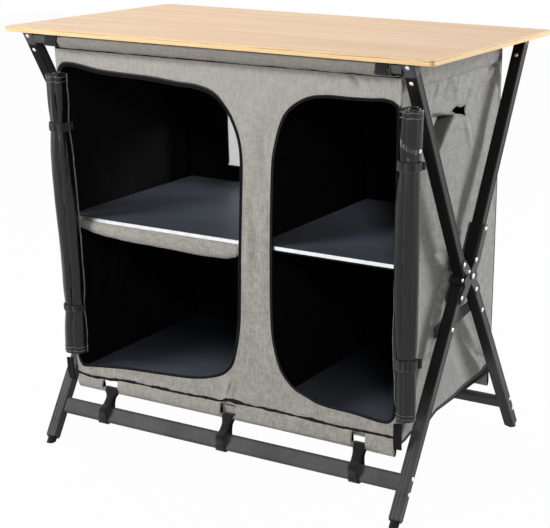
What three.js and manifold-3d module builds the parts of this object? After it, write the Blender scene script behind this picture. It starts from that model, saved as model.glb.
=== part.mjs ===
// Folding camping cupboard: two crossed tube frames joined at a hub on each side carry a light worktop
// and a hanging cloth cabinet with four shelf boards. Millimetres, +Z up, the front faces -Y, and the
// origin is on the floor at the middle of the footprint.
import * as THREE from 'three';
import { mergeVertices } from 'three/addons/utils/BufferGeometryUtils.js';
import Module from 'manifold-3d';

const wasm = await Module();
wasm.setup();

// Gaps and counts shared by the whole object
const seatGap = 0.3;
const overrun = 40;
const arcSteps = 2;
const doorwayArcSteps = 10;
const roundSteps = 16;

// Worktop
const worktop = { height: 800, sideOverhang: 37, endOverhang: 21.5, thickness: 9, cornerRadius: 8 };

// Extruded leg tube: width runs along X, depth across the lean
const leg = { width: 22, depth: 20, wall: 1.6, cornerRadius: 3, grooveWidth: 1.4, grooveDepth: 0.7 };
const legGrooveShares = [-0.28, 0, 0.28];
const legSideGrooveShares = [0.22];
const frame = { outerWidth: 788, footHeight: 8, footReach: 258, legEndHeight: 10, legTopDrop: 18 };

// Hub where the two frames cross: the tubes pass on either side of the pivot by the offset
const hub = { height: 390, offset: 13.4, plateThickness: 2, plateWidth: 18, pocketRadius: 29.5 };
const rivet = { upperRise: 25, upperSecondRise: 75, lowerDrop: 35 };
const knuckle = { reach: 22, drop: 5, radius: 12, lobeRadius: 8, bossRadius: 5 };
const bolt = { radius: 4, clearance: 0.3, headRadius: 6.5, headThickness: 2.4 };

// Rails
const topRail = { depth: 25, height: 15, wall: 1.6, cornerRadius: 3, reach: 226 };
const bottomRail = { length: 32, thickness: 13, wall: 1.6, height: 66 };

// Plastic fittings at the leg ends
const plug = { length: 16, clearance: 0.3 };
const glide = { flangeThickness: 2.6, flangeInset: 1, footRadius: 8.6, footLength: 14 };

// Cloth cabinet
const cloth = 1.6;
const cabinet = { legGap: 17, railGap: 24, railDrop: 15.5, seamRise: 65, sideHemDrop: 10 };
const dividerShare = 0.2;
const doorway = {
  sillRise: 34, headDrop: 33.5, border: 6, leftStrip: 33, rightStrip: 30, innerRadius: 80, outerRadius: 12,
};
const cableSlot = { width: 62, height: 26, centreY: 5, drop: 83.5, cornerRadius: 3 };
const sleeve = { cloth: 1.6, neckGap: 2.5, neckRise: 1.5, neckRadius: 1, legGap: 20 };

// Hem with its rod and the webbing loops that tie it to the bottom rail
const hem = { rodRadius: 5, rodDrop: 21, rodEndGap: 5, cutWidth: 32, cutRise: 9 };
const webbing = { width: 25, thickness: 1.5 };
const strapPlaceShares = [-0.7775, 0, 0.7775];

// Shelf boards and their cloth
const board = { thickness: 8, clearance: 2, trimHeight: 6.6, trimThickness: 2.4 };
const shelfShare = 0.5059;
const valance = { endDrop: 12, midDrop: 30, thickness: 1.6, steps: 12 };

// Webbing stay between the lower legs
const stay = { hubDrop: 80, width: 26, frontOverhang: 26.4, rearOverhang: 7.4 };

// Rolled-up doors: teardrop cloth rolls tied twice
const roll = {
  radius: 22.5, topDrop: 43.5, footRise: 57, standOff: 25.5, leftInset: 10, rightOutset: 24,
  tieHalfWidth: 13, rings: 26, sides: 18,
};
const tiePlaceShares = [0.82, 0.187];
const tieSqueezeShare = 0.1;
const creaseShares = { lobes: 3, depth: 0.05, twist: 1.5, crown: 0.72 };

// Derived places
const outerX = frame.outerWidth / 2;
const innerX = outerX - leg.width;
const legX = outerX - leg.width / 2;
const undersideHeight = worktop.height - worktop.thickness;
const legTopHeight = undersideHeight - frame.legTopDrop;
const sleeveTop = undersideHeight - 2 * seatGap;
const topRailCentre = sleeveTop - sleeve.cloth - seatGap - topRail.height / 2;
const upperLean = Math.atan2(topRail.reach - hub.offset, topRailCentre - hub.height);
const lowerLean = Math.atan2(frame.footReach - hub.offset, hub.height - frame.footHeight);
const bottomRailReach = hub.offset + Math.tan(lowerLean) * (hub.height - bottomRail.height);
const halfWidth = innerX - cabinet.legGap;
const halfDepth = topRail.reach - cabinet.railGap;
const cabinetTop = topRailCentre - cabinet.railDrop;
const seamHeight = bottomRail.height + cabinet.seamRise;
const dividerX = dividerShare * halfWidth;
const rodHeight = seamHeight - hem.rodDrop;
const shelfTop = seamHeight + shelfShare * (cabinetTop - seamHeight);
const backY = halfDepth - cloth;
const frontY = -halfDepth;
const boardFront = frontY + cloth + 2 * seatGap + board.trimThickness;
const boardBack = backY - board.clearance;
const floorTop = seamHeight + cloth;

// Finishes, one material for each mesh
const finishes = {
  blackAluminium: { color: 0x2b2b2c, roughness: 0.5, metalness: 0.6 },
  blackPlastic: { color: 0x161616, roughness: 0.6, metalness: 0 },
  rubber: { color: 0x0e0e0e, roughness: 0.85, metalness: 0 },
  steel: { color: 0x4c4c4d, roughness: 0.45, metalness: 0.8 },
  bamboo: { color: 0xeed4b6, roughness: 0.55, metalness: 0 },
  greyCloth: { color: 0xaaa79f, roughness: 0.95, metalness: 0 },
  blackCloth: { color: 0x2c2c2e, roughness: 0.7, metalness: 0 },
  blackWebbing: { color: 0x1b1b1c, roughness: 0.9, metalness: 0 },
  slateBoard: { color: 0x353a42, roughness: 0.45, metalness: 0 },
  silverTrim: { color: 0xc9ccce, roughness: 0.3, metalness: 0.9 },
};

const cupboard = new THREE.Group();

function addMesh(name, geometry, finish) {
  const mesh = new THREE.Mesh(geometry, new THREE.MeshStandardMaterial(finishes[finish]));
  mesh.name = name;
  cupboard.add(mesh);
  return mesh;
}

// Solids for joining and cutting
function toSolid(geometry) {
  const bare = geometry.clone();
  bare.deleteAttribute('normal');
  bare.deleteAttribute('uv');
  const merged = mergeVertices(bare);
  const vertProperties = new Float32Array(merged.attributes.position.array);
  const triVerts = new Uint32Array(merged.index.array);
  return new wasm.Manifold(new wasm.Mesh({ numProp: 3, vertProperties, triVerts }));
}

function toGeometry(solid) {
  const mesh = solid.getMesh();
  const geometry = new THREE.BufferGeometry();
  geometry.setAttribute('position', new THREE.BufferAttribute(new Float32Array(mesh.vertProperties), 3));
  geometry.setIndex(new THREE.BufferAttribute(new Uint32Array(mesh.triVerts), 1));
  geometry.computeVertexNormals();
  return geometry;
}

function join(geometries) {
  return geometries.map(toSolid).reduce((whole, piece) => whole.add(piece));
}

// A box from its two corners
function boxBetween(low, high) {
  const size = high.map((value, axis) => value - low[axis]);
  const geometry = new THREE.BoxGeometry(...size);
  geometry.translate(...low.map((value, axis) => value + size[axis] / 2));
  return geometry;
}

// A prism whose outline lies in the YZ plane and which runs along X
const outlineToSide = new THREE.Matrix4().makeBasis(
  new THREE.Vector3(0, 1, 0), new THREE.Vector3(0, 0, 1), new THREE.Vector3(1, 0, 0));

function prismAlongX(shape, lowX, highX) {
  const geometry = new THREE.ExtrudeGeometry(shape, {
    depth: highX - lowX, bevelEnabled: false, curveSegments: arcSteps,
  });
  geometry.applyMatrix4(outlineToSide);
  geometry.translate(lowX, 0, 0);
  return geometry;
}

// A prism on one side of the object, from a near distance to a far one from the middle
function sidePrism(shape, side, near, far) {
  return side > 0 ? prismAlongX(shape, near, far) : prismAlongX(shape, -far, -near);
}

// A prism whose outline lies in the XZ plane and which runs towards +Y
const outlineToFront = new THREE.Matrix4().makeBasis(
  new THREE.Vector3(1, 0, 0), new THREE.Vector3(0, 0, 1), new THREE.Vector3(0, -1, 0));

function prismAlongY(shape, lowY, highY) {
  const geometry = new THREE.ExtrudeGeometry(shape, {
    depth: highY - lowY, bevelEnabled: false, curveSegments: doorwayArcSteps,
  });
  geometry.applyMatrix4(outlineToFront);
  geometry.translate(0, highY, 0);
  return geometry;
}

// A plain rectangle between two values each way
function rectangle(lowA, highA, lowB, highB) {
  return new THREE.Shape([[lowA, lowB], [highA, lowB], [highA, highB], [lowA, highB]]
    .map(([a, b]) => new THREE.Vector2(a, b)));
}

// A rectangle with rounded corners, centred on the origin
function roundedRectangle(width, height, radius) {
  const shape = new THREE.Shape();
  const x = width / 2;
  const y = height / 2;
  shape.moveTo(-x + radius, -y);
  shape.lineTo(x - radius, -y);
  shape.absarc(x - radius, -y + radius, radius, -Math.PI / 2, 0);
  shape.lineTo(x, y - radius);
  shape.absarc(x - radius, y - radius, radius, 0, Math.PI / 2);
  shape.lineTo(-x + radius, y);
  shape.absarc(-x + radius, y - radius, radius, Math.PI / 2, Math.PI);
  shape.lineTo(-x, -y + radius);
  shape.absarc(-x + radius, -y + radius, radius, Math.PI, 1.5 * Math.PI);
  return shape;
}

// The leg section: rounded corners, fine grooves on the front and back faces, one on each side face
function grooveRun(shares, span) {
  return shares.flatMap((share) => [
    [share * span - leg.grooveWidth / 2, 0], [share * span - leg.grooveWidth / 2, leg.grooveDepth],
    [share * span + leg.grooveWidth / 2, leg.grooveDepth], [share * span + leg.grooveWidth / 2, 0],
  ]);
}

function legSection() {
  const shape = new THREE.Shape();
  const x = leg.width / 2;
  const y = leg.depth / 2;
  const r = leg.cornerRadius;
  const across = grooveRun(legGrooveShares, leg.width);
  const beside = grooveRun(legSideGrooveShares, leg.depth);
  shape.moveTo(-x + r, -y);
  across.forEach(([along, deep]) => shape.lineTo(along, -y + deep));
  shape.lineTo(x - r, -y);
  shape.absarc(x - r, -y + r, r, -Math.PI / 2, 0);
  beside.forEach(([along, deep]) => shape.lineTo(x - deep, along));
  shape.lineTo(x, y - r);
  shape.absarc(x - r, y - r, r, 0, Math.PI / 2);
  across.forEach(([along, deep]) => shape.lineTo(-along, y - deep));
  shape.lineTo(-x + r, y);
  shape.absarc(-x + r, y - r, r, Math.PI / 2, Math.PI);
  beside.forEach(([along, deep]) => shape.lineTo(-x + deep, -along));
  shape.lineTo(-x, -y + r);
  shape.absarc(-x + r, -y + r, r, Math.PI, 1.5 * Math.PI);
  return shape;
}

function boreSection(clearance) {
  const shrink = leg.wall + leg.grooveDepth + clearance;
  const x = leg.width / 2 - shrink;
  const y = leg.depth / 2 - shrink;
  return rectangle(-x, x, -y, y);
}

function extrude(shape, length) {
  return new THREE.ExtrudeGeometry(shape, { depth: length, bevelEnabled: false, curveSegments: arcSteps });
}

function tubeGeometry(length) {
  const section = legSection();
  section.holes.push(boreSection(0));
  return extrude(section, length);
}

// The convex outline around a set of discs in one plane, given as [first, second, radius]
function outlineAround(discs, extra) {
  const points = discs.flatMap(([a, b, radius]) => Array.from({ length: roundSteps }, (_, step) => {
    const turn = (2 * Math.PI * step) / roundSteps;
    return [a + (radius + extra) * Math.cos(turn), b + (radius + extra) * Math.sin(turn)];
  }));
  points.sort((p, q) => p[0] - q[0] || p[1] - q[1]);
  const turnsRight = (o, p, q) => (p[0] - o[0]) * (q[1] - o[1]) - (p[1] - o[1]) * (q[0] - o[0]) <= 0;
  const half = (ordered) => {
    const chain = [];
    ordered.forEach((point) => {
      while (chain.length > 1 && turnsRight(chain.at(-2), chain.at(-1), point)) chain.pop();
      chain.push(point);
    });
    return chain.slice(0, -1);
  };
  return [...half(points), ...half([...points].reverse())].map(([a, b]) => new THREE.Vector2(a, b));
}

function bandAround(innerDiscs, outerDiscs, innerGap, thickness) {
  const shape = new THREE.Shape(outlineAround(outerDiscs, innerGap + thickness));
  shape.holes.push(new THREE.Path(outlineAround(innerDiscs, innerGap)));
  return shape;
}

function plateStrip(from, to, radius) {
  return new THREE.Shape(outlineAround([[...from, radius], [...to, radius]], 0));
}

// Where the tube axes run: the upper leg of a frame leans to its own end, the lower one to the other
function upperPoint(end, height) {
  return [end * (hub.offset + Math.tan(upperLean) * (height - hub.height)), height];
}

function lowerPoint(end, height) {
  return [-end * (hub.offset + Math.tan(lowerLean) * (hub.height - height)), height];
}

const knuckleOut = knuckle.reach - hub.offset;
const lowerStart = knuckleOut * Math.sin(lowerLean) + knuckle.drop * Math.cos(lowerLean)
  + knuckle.radius + seatGap;
const upperStart = knuckleOut * Math.sin(upperLean) - knuckle.drop * Math.cos(upperLean)
  + knuckle.radius + seatGap;
const upperLength = (legTopHeight - hub.height) / Math.cos(upperLean) - upperStart;
const lowerLength = (hub.height - frame.legEndHeight) / Math.cos(lowerLean) - lowerStart;
const sides = [['left', -1], ['right', 1]];
const frames = [
  { end: -1, top: 'front', foot: 'rear', layer: 0 },
  { end: 1, top: 'rear', foot: 'front', layer: 1 },
];

// Legs of one frame, which tops out at one end and stands at the other
function placeLeg(mesh, side, lean, [y, z]) {
  mesh.rotation.x = lean;
  mesh.position.set(side * legX, y, z);
  return mesh;
}

function addLegs({ end, top, foot }, sideName, side) {
  const upperBase = upperPoint(end, hub.height + upperStart * Math.cos(upperLean));
  placeLeg(addMesh(`upper_leg_${top}_${sideName}`, tubeGeometry(upperLength), 'blackAluminium'),
    side, -end * upperLean, upperBase);
  const lowerBase = lowerPoint(end, frame.legEndHeight);
  placeLeg(addMesh(`lower_leg_${foot}_${sideName}`, tubeGeometry(lowerLength), 'blackAluminium'),
    side, -end * lowerLean, lowerBase);
}

// Geometry turned to a leg's lean and set at a point of its axis
function leant(geometry, side, lean, [y, z]) {
  geometry.rotateX(lean);
  geometry.translate(side * legX, y, z);
  return geometry;
}

// Top cap: a plug in the tube and a block above it, cut level under the worktop
function addTopCap({ end, top }, sideName, side) {
  const lean = -end * upperLean;
  const tip = upperPoint(end, legTopHeight);
  const block = extrude(roundedRectangle(leg.width, leg.depth, leg.cornerRadius), overrun);
  block.translate(0, 0, seatGap);
  const stem = extrude(boreSection(plug.clearance), plug.length + overrun / 2);
  stem.translate(0, 0, -plug.length);
  const above = boxBetween([-outerX - overrun, -frame.outerWidth, undersideHeight - seatGap],
    [outerX + overrun, frame.outerWidth, worktop.height + overrun]);
  const cap = join([block, stem].map((piece) => leant(piece, side, lean, tip))).subtract(toSolid(above));
  addMesh(`corner_cap_${top}_${sideName}`, toGeometry(cap), 'blackPlastic');
}

// Floor glide: a plug in the tube, a flange over its end and a round foot cut level at the floor
function addGlide({ end, foot }, sideName, side) {
  const lean = -end * lowerLean;
  const tip = lowerPoint(end, frame.legEndHeight);
  const stem = extrude(boreSection(plug.clearance), plug.length + glide.flangeThickness);
  stem.translate(0, 0, -glide.flangeThickness);
  const flange = extrude(roundedRectangle(leg.width - 2 * glide.flangeInset,
    leg.depth - 2 * glide.flangeInset, leg.cornerRadius), glide.flangeThickness);
  flange.translate(0, 0, -seatGap - glide.flangeThickness);
  const round = new THREE.CylinderGeometry(glide.footRadius, glide.footRadius, glide.footLength, roundSteps);
  round.rotateX(Math.PI / 2);
  round.translate(0, 0, -glide.flangeThickness - glide.footLength / 2);
  const below = boxBetween([-outerX - overrun, -frame.outerWidth, -overrun],
    [outerX + overrun, frame.outerWidth, 0]);
  const whole = join([stem, flange, round].map((piece) => leant(piece, side, lean, tip)));
  addMesh(`glide_${foot}_${sideName}`, toGeometry(whole.subtract(toSolid(below))), 'rubber');
}

// Hub plates on the outer and inner faces of the tubes. The second frame's plates step over the first's.
function plateOutlines({ end, layer }) {
  const pivot = [0, hub.height];
  const half = hub.plateWidth / 2;
  const upperRise = layer ? rivet.upperSecondRise : rivet.upperRise;
  const bend = upperPoint(end, hub.height + rivet.upperRise);
  return [
    plateStrip(pivot, bend, half),
    plateStrip(bend, upperPoint(end, hub.height + upperRise), half),
    plateStrip(pivot, lowerPoint(end, hub.height - rivet.lowerDrop), half),
    plateStrip(pivot, [-end * knuckle.reach, hub.height - knuckle.drop], knuckle.lobeRadius),
  ];
}

function cylinderAlongX(radius, side, near, far, [y, z]) {
  const geometry = new THREE.CylinderGeometry(radius, radius, Math.abs(far - near), roundSteps);
  geometry.rotateZ(Math.PI / 2);
  geometry.translate((side * (near + far)) / 2, y, z);
  return geometry;
}

function addHubPlate(member, sideName, side, face) {
  const pivot = [0, hub.height];
  const start = face === 'outer' ? outerX + seatGap : innerX - seatGap;
  const away = face === 'outer' ? 1 : -1;
  const step = seatGap + hub.plateThickness;
  const depth = hub.plateThickness + member.layer * step;
  const range = (from, to) => [Math.min(from, to), Math.max(from, to)];
  const slabs = plateOutlines(member).map((shape) => sidePrism(shape, side,
    ...range(start, start + away * depth)));
  let plate = join(slabs);
  if (member.layer) {
    const pocket = cylinderAlongX(hub.pocketRadius, side, start - away * seatGap, start + away * step, pivot);
    plate = plate.subtract(toSolid(pocket));
  }
  const hole = cylinderAlongX(bolt.radius + bolt.clearance, side, start - away * seatGap,
    start + away * overrun, pivot);
  const name = `hub_plate_${face}_${member.top}_${sideName}`;
  addMesh(name, toGeometry(plate.subtract(toSolid(hole))), 'steel');
}

// Round stop block at the top of a lower leg: the other frame's upper leg comes to rest on it
function addKnuckle({ end, foot, layer }, sideName, side) {
  const centre = [-end * knuckle.reach, hub.height - knuckle.drop];
  const reach = layer * (seatGap + hub.plateThickness);
  const block = cylinderAlongX(knuckle.radius, side, innerX, outerX, centre);
  const boss = cylinderAlongX(knuckle.bossRadius, side, innerX - reach, outerX + reach, centre);
  addMesh(`hub_stop_${foot}_${sideName}`, toGeometry(join([block, boss])), 'blackPlastic');
}

// Pivot bolt through all four plates of one hub, with a head at each end
function addPivotBolt(sideName, side) {
  const pivot = [0, hub.height];
  const stack = 2 * (hub.plateThickness + seatGap) + seatGap;
  const shank = cylinderAlongX(bolt.radius, side, innerX - stack, outerX + stack, pivot);
  const heads = [[innerX - stack - bolt.headThickness, innerX - stack],
    [outerX + stack, outerX + stack + bolt.headThickness]];
  const pieces = heads.map(([near, far]) => cylinderAlongX(bolt.headRadius, side, near, far, pivot));
  addMesh(`pivot_bolt_${sideName}`, toGeometry(join([shank, ...pieces])), 'steel');
}

// Rails between the left and right legs
function addTopRail({ end, top }) {
  const section = roundedRectangle(topRail.depth, topRail.height, topRail.cornerRadius);
  section.holes.push(roundedRectangle(topRail.depth - 2 * topRail.wall, topRail.height - 2 * topRail.wall,
    topRail.cornerRadius / 2));
  const mesh = addMesh(`top_rail_${top}`, prismAlongX(section, -innerX + seatGap, innerX - seatGap),
    'blackAluminium');
  mesh.position.set(0, end * topRail.reach, topRailCentre);
}

const railEnds = bottomRail.length / 2 - bottomRail.thickness / 2;

function railDiscs(centreY, centreZ, lean) {
  const radius = bottomRail.thickness / 2;
  return [-1, 1].map((way) => [centreY - way * railEnds * Math.sin(lean),
    centreZ + way * railEnds * Math.cos(lean), radius]);
}

function addBottomRail({ end, foot }) {
  const discs = railDiscs(0, 0, -end * lowerLean);
  const section = bandAround(discs, discs, -bottomRail.wall, bottomRail.wall);
  const mesh = addMesh(`bottom_rail_${foot}`, prismAlongX(section, -innerX + seatGap, innerX - seatGap),
    'blackAluminium');
  mesh.position.set(0, -end * bottomRailReach, bottomRail.height);
}

const sleeveX = innerX - sleeve.legGap;

// Cloth sleeve of the cabinet around a top rail, with a neck down to the cabinet's seam
function addTopSleeve({ end, top }) {
  const y = topRail.depth / 2 - topRail.cornerRadius;
  const z = topRail.height / 2 - topRail.cornerRadius;
  const corners = [[-y, -z], [y, -z], [y, z], [-y, z]];
  const discs = corners.map(([a, b]) => [end * topRail.reach + a, topRailCentre + b, topRail.cornerRadius]);
  const shrink = sleeve.cloth + seatGap;
  const neck = [end * (halfDepth + sleeve.neckGap), cabinetTop + sleeve.neckRise + sleeve.neckRadius,
    sleeve.neckRadius - shrink];
  const section = bandAround(discs, [...discs, neck], seatGap, sleeve.cloth);
  addMesh(`top_sleeve_${top}`, prismAlongX(section, -sleeveX, sleeveX), 'greyCloth');
}

frames.forEach((member) => {
  sides.forEach(([sideName, side]) => {
    addLegs(member, sideName, side);
    addTopCap(member, sideName, side);
    addGlide(member, sideName, side);
    addKnuckle(member, sideName, side);
    addHubPlate(member, sideName, side, 'outer');
    addHubPlate(member, sideName, side, 'inner');
  });
  addTopRail(member);
  addBottomRail(member);
  addTopSleeve(member);
});
sides.forEach(([sideName, side]) => addPivotBolt(sideName, side));

// Worktop
const worktopGeometry = extrude(roundedRectangle(frame.outerWidth + 2 * worktop.sideOverhang,
  2 * (topRail.reach + worktop.endOverhang), worktop.cornerRadius), worktop.thickness);
addMesh('worktop', worktopGeometry, 'bamboo').position.z = undersideHeight;

// Front panel of the cabinet with its two doorways, rounded where they meet the middle strip
function doorwayPath(outer, inner) {
  const towards = Math.sign(inner - outer);
  const path = new THREE.Path();
  const big = doorway.innerRadius;
  const small = doorway.outerRadius;
  const quarter = Math.PI / 2;
  const start = towards > 0 ? 0 : Math.PI;
  const arc = (x, z, radius, from, to) => path.absarc(x, z, radius, from, to, towards < 0);
  const sill = seamHeight + doorway.sillRise;
  const head = cabinetTop - doorway.headDrop;
  path.moveTo(outer + towards * small, sill);
  path.lineTo(inner - towards * big, sill);
  arc(inner - towards * big, sill + big, big, -quarter, towards > 0 ? 0 : -start);
  path.lineTo(inner, head - big);
  arc(inner - towards * big, head - big, big, start, quarter);
  path.lineTo(outer + towards * small, head);
  arc(outer + towards * small, head - small, small, quarter, towards > 0 ? Math.PI : 0);
  path.lineTo(outer, sill + small);
  arc(outer + towards * small, sill + small, small, towards > 0 ? Math.PI : 0,
    towards > 0 ? 3 * quarter : -quarter);
  return path;
}

const frontShape = rectangle(-halfWidth, halfWidth, seamHeight, cabinetTop);
const doorOuter = halfWidth - doorway.border;
frontShape.holes.push(doorwayPath(-doorOuter, dividerX - doorway.leftStrip),
  doorwayPath(doorOuter, dividerX + doorway.rightStrip));
addMesh('front_panel', prismAlongY(frontShape, frontY, frontY + cloth), 'greyCloth');
addMesh('back_panel', prismAlongY(
  rectangle(-halfWidth, halfWidth, rodHeight - hem.rodRadius, cabinetTop), backY, backY + cloth),
'greyCloth');

// Side panels between the front and back panels; the right one has a slot for a cable
function sideShape() {
  return rectangle(frontY + cloth + seatGap, backY - seatGap, seamHeight - cabinet.sideHemDrop, cabinetTop);
}

const slotShape = sideShape();
slotShape.holes.push(new THREE.Path(roundedRectangle(cableSlot.width, cableSlot.height,
  cableSlot.cornerRadius).getPoints(arcSteps).map(
  (point) => new THREE.Vector2(point.x + cableSlot.centreY, point.y + cabinetTop - cableSlot.drop))));
addMesh('side_panel_left', prismAlongX(sideShape(), -halfWidth, -halfWidth + cloth), 'greyCloth');
addMesh('side_panel_right', prismAlongX(slotShape, halfWidth - cloth, halfWidth), 'greyCloth');

// Floor of the cabinet, the divider that stands on it and the shelf cloths to both sides of it
const insideX = halfWidth - cloth - seatGap;
const insideFront = frontY + cloth + seatGap;
const insideBack = backY - seatGap;
addMesh('floor_panel', boxBetween([-insideX, insideFront, seamHeight], [insideX, insideBack, floorTop]),
  'blackCloth');
addMesh('divider_panel', boxBetween([dividerX - cloth / 2, insideFront, floorTop + seatGap],
  [dividerX + cloth / 2, insideBack, cabinetTop]), 'blackCloth');

const bays = {
  left: [-insideX, dividerX - cloth / 2 - seatGap],
  right: [dividerX + cloth / 2 + seatGap, insideX],
};
const shelfClothTop = shelfTop - board.thickness - seatGap;
const shelfCloths = Object.fromEntries(Object.entries(bays).map(([name, [low, high]]) => [name,
  boxBetween([low, insideFront, shelfClothTop - cloth], [high, insideBack, shelfClothTop])]));

// The left shelf's cloth droops over its front edge in one shallow sag
const [sagLow, sagHigh] = bays.left;
const sagEdge = Array.from({ length: valance.steps + 1 }, (_, step) => {
  const share = step / valance.steps;
  const drop = valance.endDrop + (valance.midDrop - valance.endDrop) * Math.sin(Math.PI * share);
  return new THREE.Vector2(sagLow + share * (sagHigh - sagLow), shelfClothTop - cloth - drop);
});
const sagShape = new THREE.Shape([...sagEdge, new THREE.Vector2(sagHigh, shelfClothTop),
  new THREE.Vector2(sagLow, shelfClothTop)]);
const droop = prismAlongY(sagShape, insideFront, insideFront + valance.thickness);
addMesh('shelf_cloth_left', toGeometry(join([shelfCloths.left, droop])), 'greyCloth');
addMesh('shelf_cloth_right', shelfCloths.right, 'greyCloth');

// Boards on the floor and on the shelf cloths; the shelf boards carry a metal edge trim
Object.entries(bays).forEach(([name, [low, high]]) => {
  const span = [low + board.clearance, high - board.clearance];
  const addBoard = (level, bottom) => addMesh(`${level}_board_${name}`, boxBetween(
    [span[0], boardFront, bottom], [span[1], boardBack, bottom + board.thickness]), 'slateBoard');
  addBoard('base', floorTop + seatGap);
  addBoard('shelf', shelfTop - board.thickness);
  addMesh(`shelf_trim_${name}`, boxBetween(
    [span[0], boardFront - seatGap - board.trimThickness, shelfTop - board.trimHeight],
    [span[1], boardFront - seatGap, shelfTop]), 'silverTrim');
});

// Front hem: a cloth loop around a rod below the seam, cut away where the webbing passes
const rodY = frontY + cloth / 2;
const rodDisc = [rodY, rodHeight, hem.rodRadius];
const hemTip = [rodY, seamHeight - seatGap - sleeve.cloth, 0];
const hemBand = bandAround([rodDisc], [rodDisc, [hemTip[0], hemTip[1] - seatGap, 0]], seatGap, sleeve.cloth);
const strapPlaces = strapPlaceShares.map((share) => share * halfWidth);
const hemCuts = strapPlaces.map((place) => boxBetween(
  [place - hem.cutWidth / 2, rodY - overrun, rodHeight - overrun],
  [place + hem.cutWidth / 2, rodY + overrun, rodHeight + hem.cutRise]));
const hemSolid = hemCuts.map(toSolid).reduce((whole, cut) => whole.subtract(cut),
  toSolid(prismAlongX(hemBand, -sleeveX, sleeveX)));
const rodX = halfWidth - hem.rodEndGap;
addMesh('hem_sleeve_front', toGeometry(hemSolid), 'greyCloth');
addMesh('hem_rod_front', cylinderAlongX(hem.rodRadius, 1, -rodX, rodX, [rodY, rodHeight]), 'steel');

// Webbing loops from the rod down around the front bottom rail
const strapDiscs = [rodDisc, ...railDiscs(-bottomRailReach, bottomRail.height, -lowerLean)];
const strapBand = bandAround(strapDiscs, strapDiscs, seatGap, webbing.thickness);
const strapNames = ['left', 'middle', 'right'];
strapPlaces.forEach((centre, index) => {
  addMesh(`hem_strap_${strapNames[index]}`, prismAlongX(strapBand, centre - webbing.width / 2,
    centre + webbing.width / 2), 'blackWebbing');
});

// Webbing stay that keeps the lower legs of one side from spreading further
sides.forEach(([sideName, side]) => {
  const height = hub.height - stay.hubDrop;
  const [rearAxis] = lowerPoint(-1, height);
  const edges = rectangle(-rearAxis - stay.frontOverhang, rearAxis + stay.rearOverhang,
    height - stay.width / 2, height + stay.width / 2);
  addMesh(`leg_stay_${sideName}`, sidePrism(edges, side, innerX - seatGap - webbing.thickness,
    innerX - seatGap), 'blackWebbing');
});

// A door rolled up to its post: rings of a teardrop outline, squeezed at the ties and creased between
const rollTop = cabinetTop - roll.topDrop;
const rollFoot = seamHeight + roll.footRise;

function rollSqueeze(height) {
  return tiePlaceShares.reduce((factor, place) => {
    const tie = rollFoot + place * (rollTop - rollFoot);
    const nearness = Math.max(0, 1 - Math.abs(height - tie) / (2 * roll.tieHalfWidth));
    return factor - tieSqueezeShare * nearness;
  }, 1);
}

function rollGeometry(centreX, tipX) {
  const centreY = frontY - roll.standOff;
  const tip = [tipX - centreX, frontY - seatGap - centreY];
  const tipTurn = Math.atan2(tip[1], tip[0]);
  const tipReach = Math.hypot(...tip);
  const positions = [];
  for (let ring = 0; ring <= roll.rings; ring += 1) {
    const share = ring / roll.rings;
    const height = rollFoot + share * (rollTop - rollFoot);
    const crown = ring === 0 || ring === roll.rings ? creaseShares.crown : 1;
    for (let point = 0; point < roll.sides; point += 1) {
      const turn = tipTurn + (2 * Math.PI * point) / roll.sides;
      const crease = 1 + creaseShares.depth
        * Math.sin(creaseShares.lobes * turn + creaseShares.twist * 2 * Math.PI * share);
      const reach = point === 0 ? tipReach : roll.radius * crown * crease * rollSqueeze(height);
      positions.push(centreX + reach * Math.cos(turn), centreY + reach * Math.sin(turn), height);
    }
  }
  const bottomHub = positions.push(centreX, centreY, rollFoot) / 3 - 1;
  const topHub = positions.push(centreX, centreY, rollTop) / 3 - 1;
  const faces = [];
  for (let point = 0; point < roll.sides; point += 1) {
    const next = (point + 1) % roll.sides;
    const last = roll.rings * roll.sides;
    faces.push(bottomHub, next, point, topHub, last + point, last + next);
    for (let ring = 0; ring < roll.rings; ring += 1) {
      const low = ring * roll.sides;
      const high = low + roll.sides;
      faces.push(low + point, low + next, high + next, low + point, high + next, high + point);
    }
  }
  const geometry = new THREE.BufferGeometry();
  geometry.setAttribute('position', new THREE.Float32BufferAttribute(positions, 3));
  geometry.setIndex(faces);
  geometry.computeVertexNormals();
  return geometry;
}

const borderX = halfWidth - doorway.border / 2;
addMesh('door_roll_left', rollGeometry(-halfWidth + roll.leftInset, -borderX), 'blackCloth');
addMesh('door_roll_right', rollGeometry(halfWidth + roll.rightOutset, borderX), 'blackCloth');

export default cupboard;
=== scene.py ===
"""A folding camping cupboard: a crossed tube frame, a light wood top and a hanging cloth cabinet with
two open doorways, rolled-up doors and stiff boards."""
import math

import bmesh
import bpy
from bpy.props import FloatProperty, FloatVectorProperty, PointerProperty
from mathutils import Matrix, Vector, noise


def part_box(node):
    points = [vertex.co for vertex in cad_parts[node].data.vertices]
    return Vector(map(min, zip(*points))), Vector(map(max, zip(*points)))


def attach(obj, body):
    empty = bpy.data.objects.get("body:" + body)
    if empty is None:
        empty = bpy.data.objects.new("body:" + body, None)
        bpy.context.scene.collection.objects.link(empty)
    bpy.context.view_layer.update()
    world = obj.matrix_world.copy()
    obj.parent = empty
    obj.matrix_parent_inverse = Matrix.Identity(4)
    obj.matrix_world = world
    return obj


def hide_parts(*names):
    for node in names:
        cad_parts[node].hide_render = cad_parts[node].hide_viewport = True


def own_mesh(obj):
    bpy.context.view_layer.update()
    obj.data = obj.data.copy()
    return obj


bl_info = {
    "name": "Camping Cupboard",
    "version": (1, 0, 0),
    "blender": (4, 5, 0),
    "location": "View3D > Sidebar > Cupboard",
    "description": "Builds a folding camping cupboard over its frame",
    "category": "Add Mesh",
}

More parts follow.
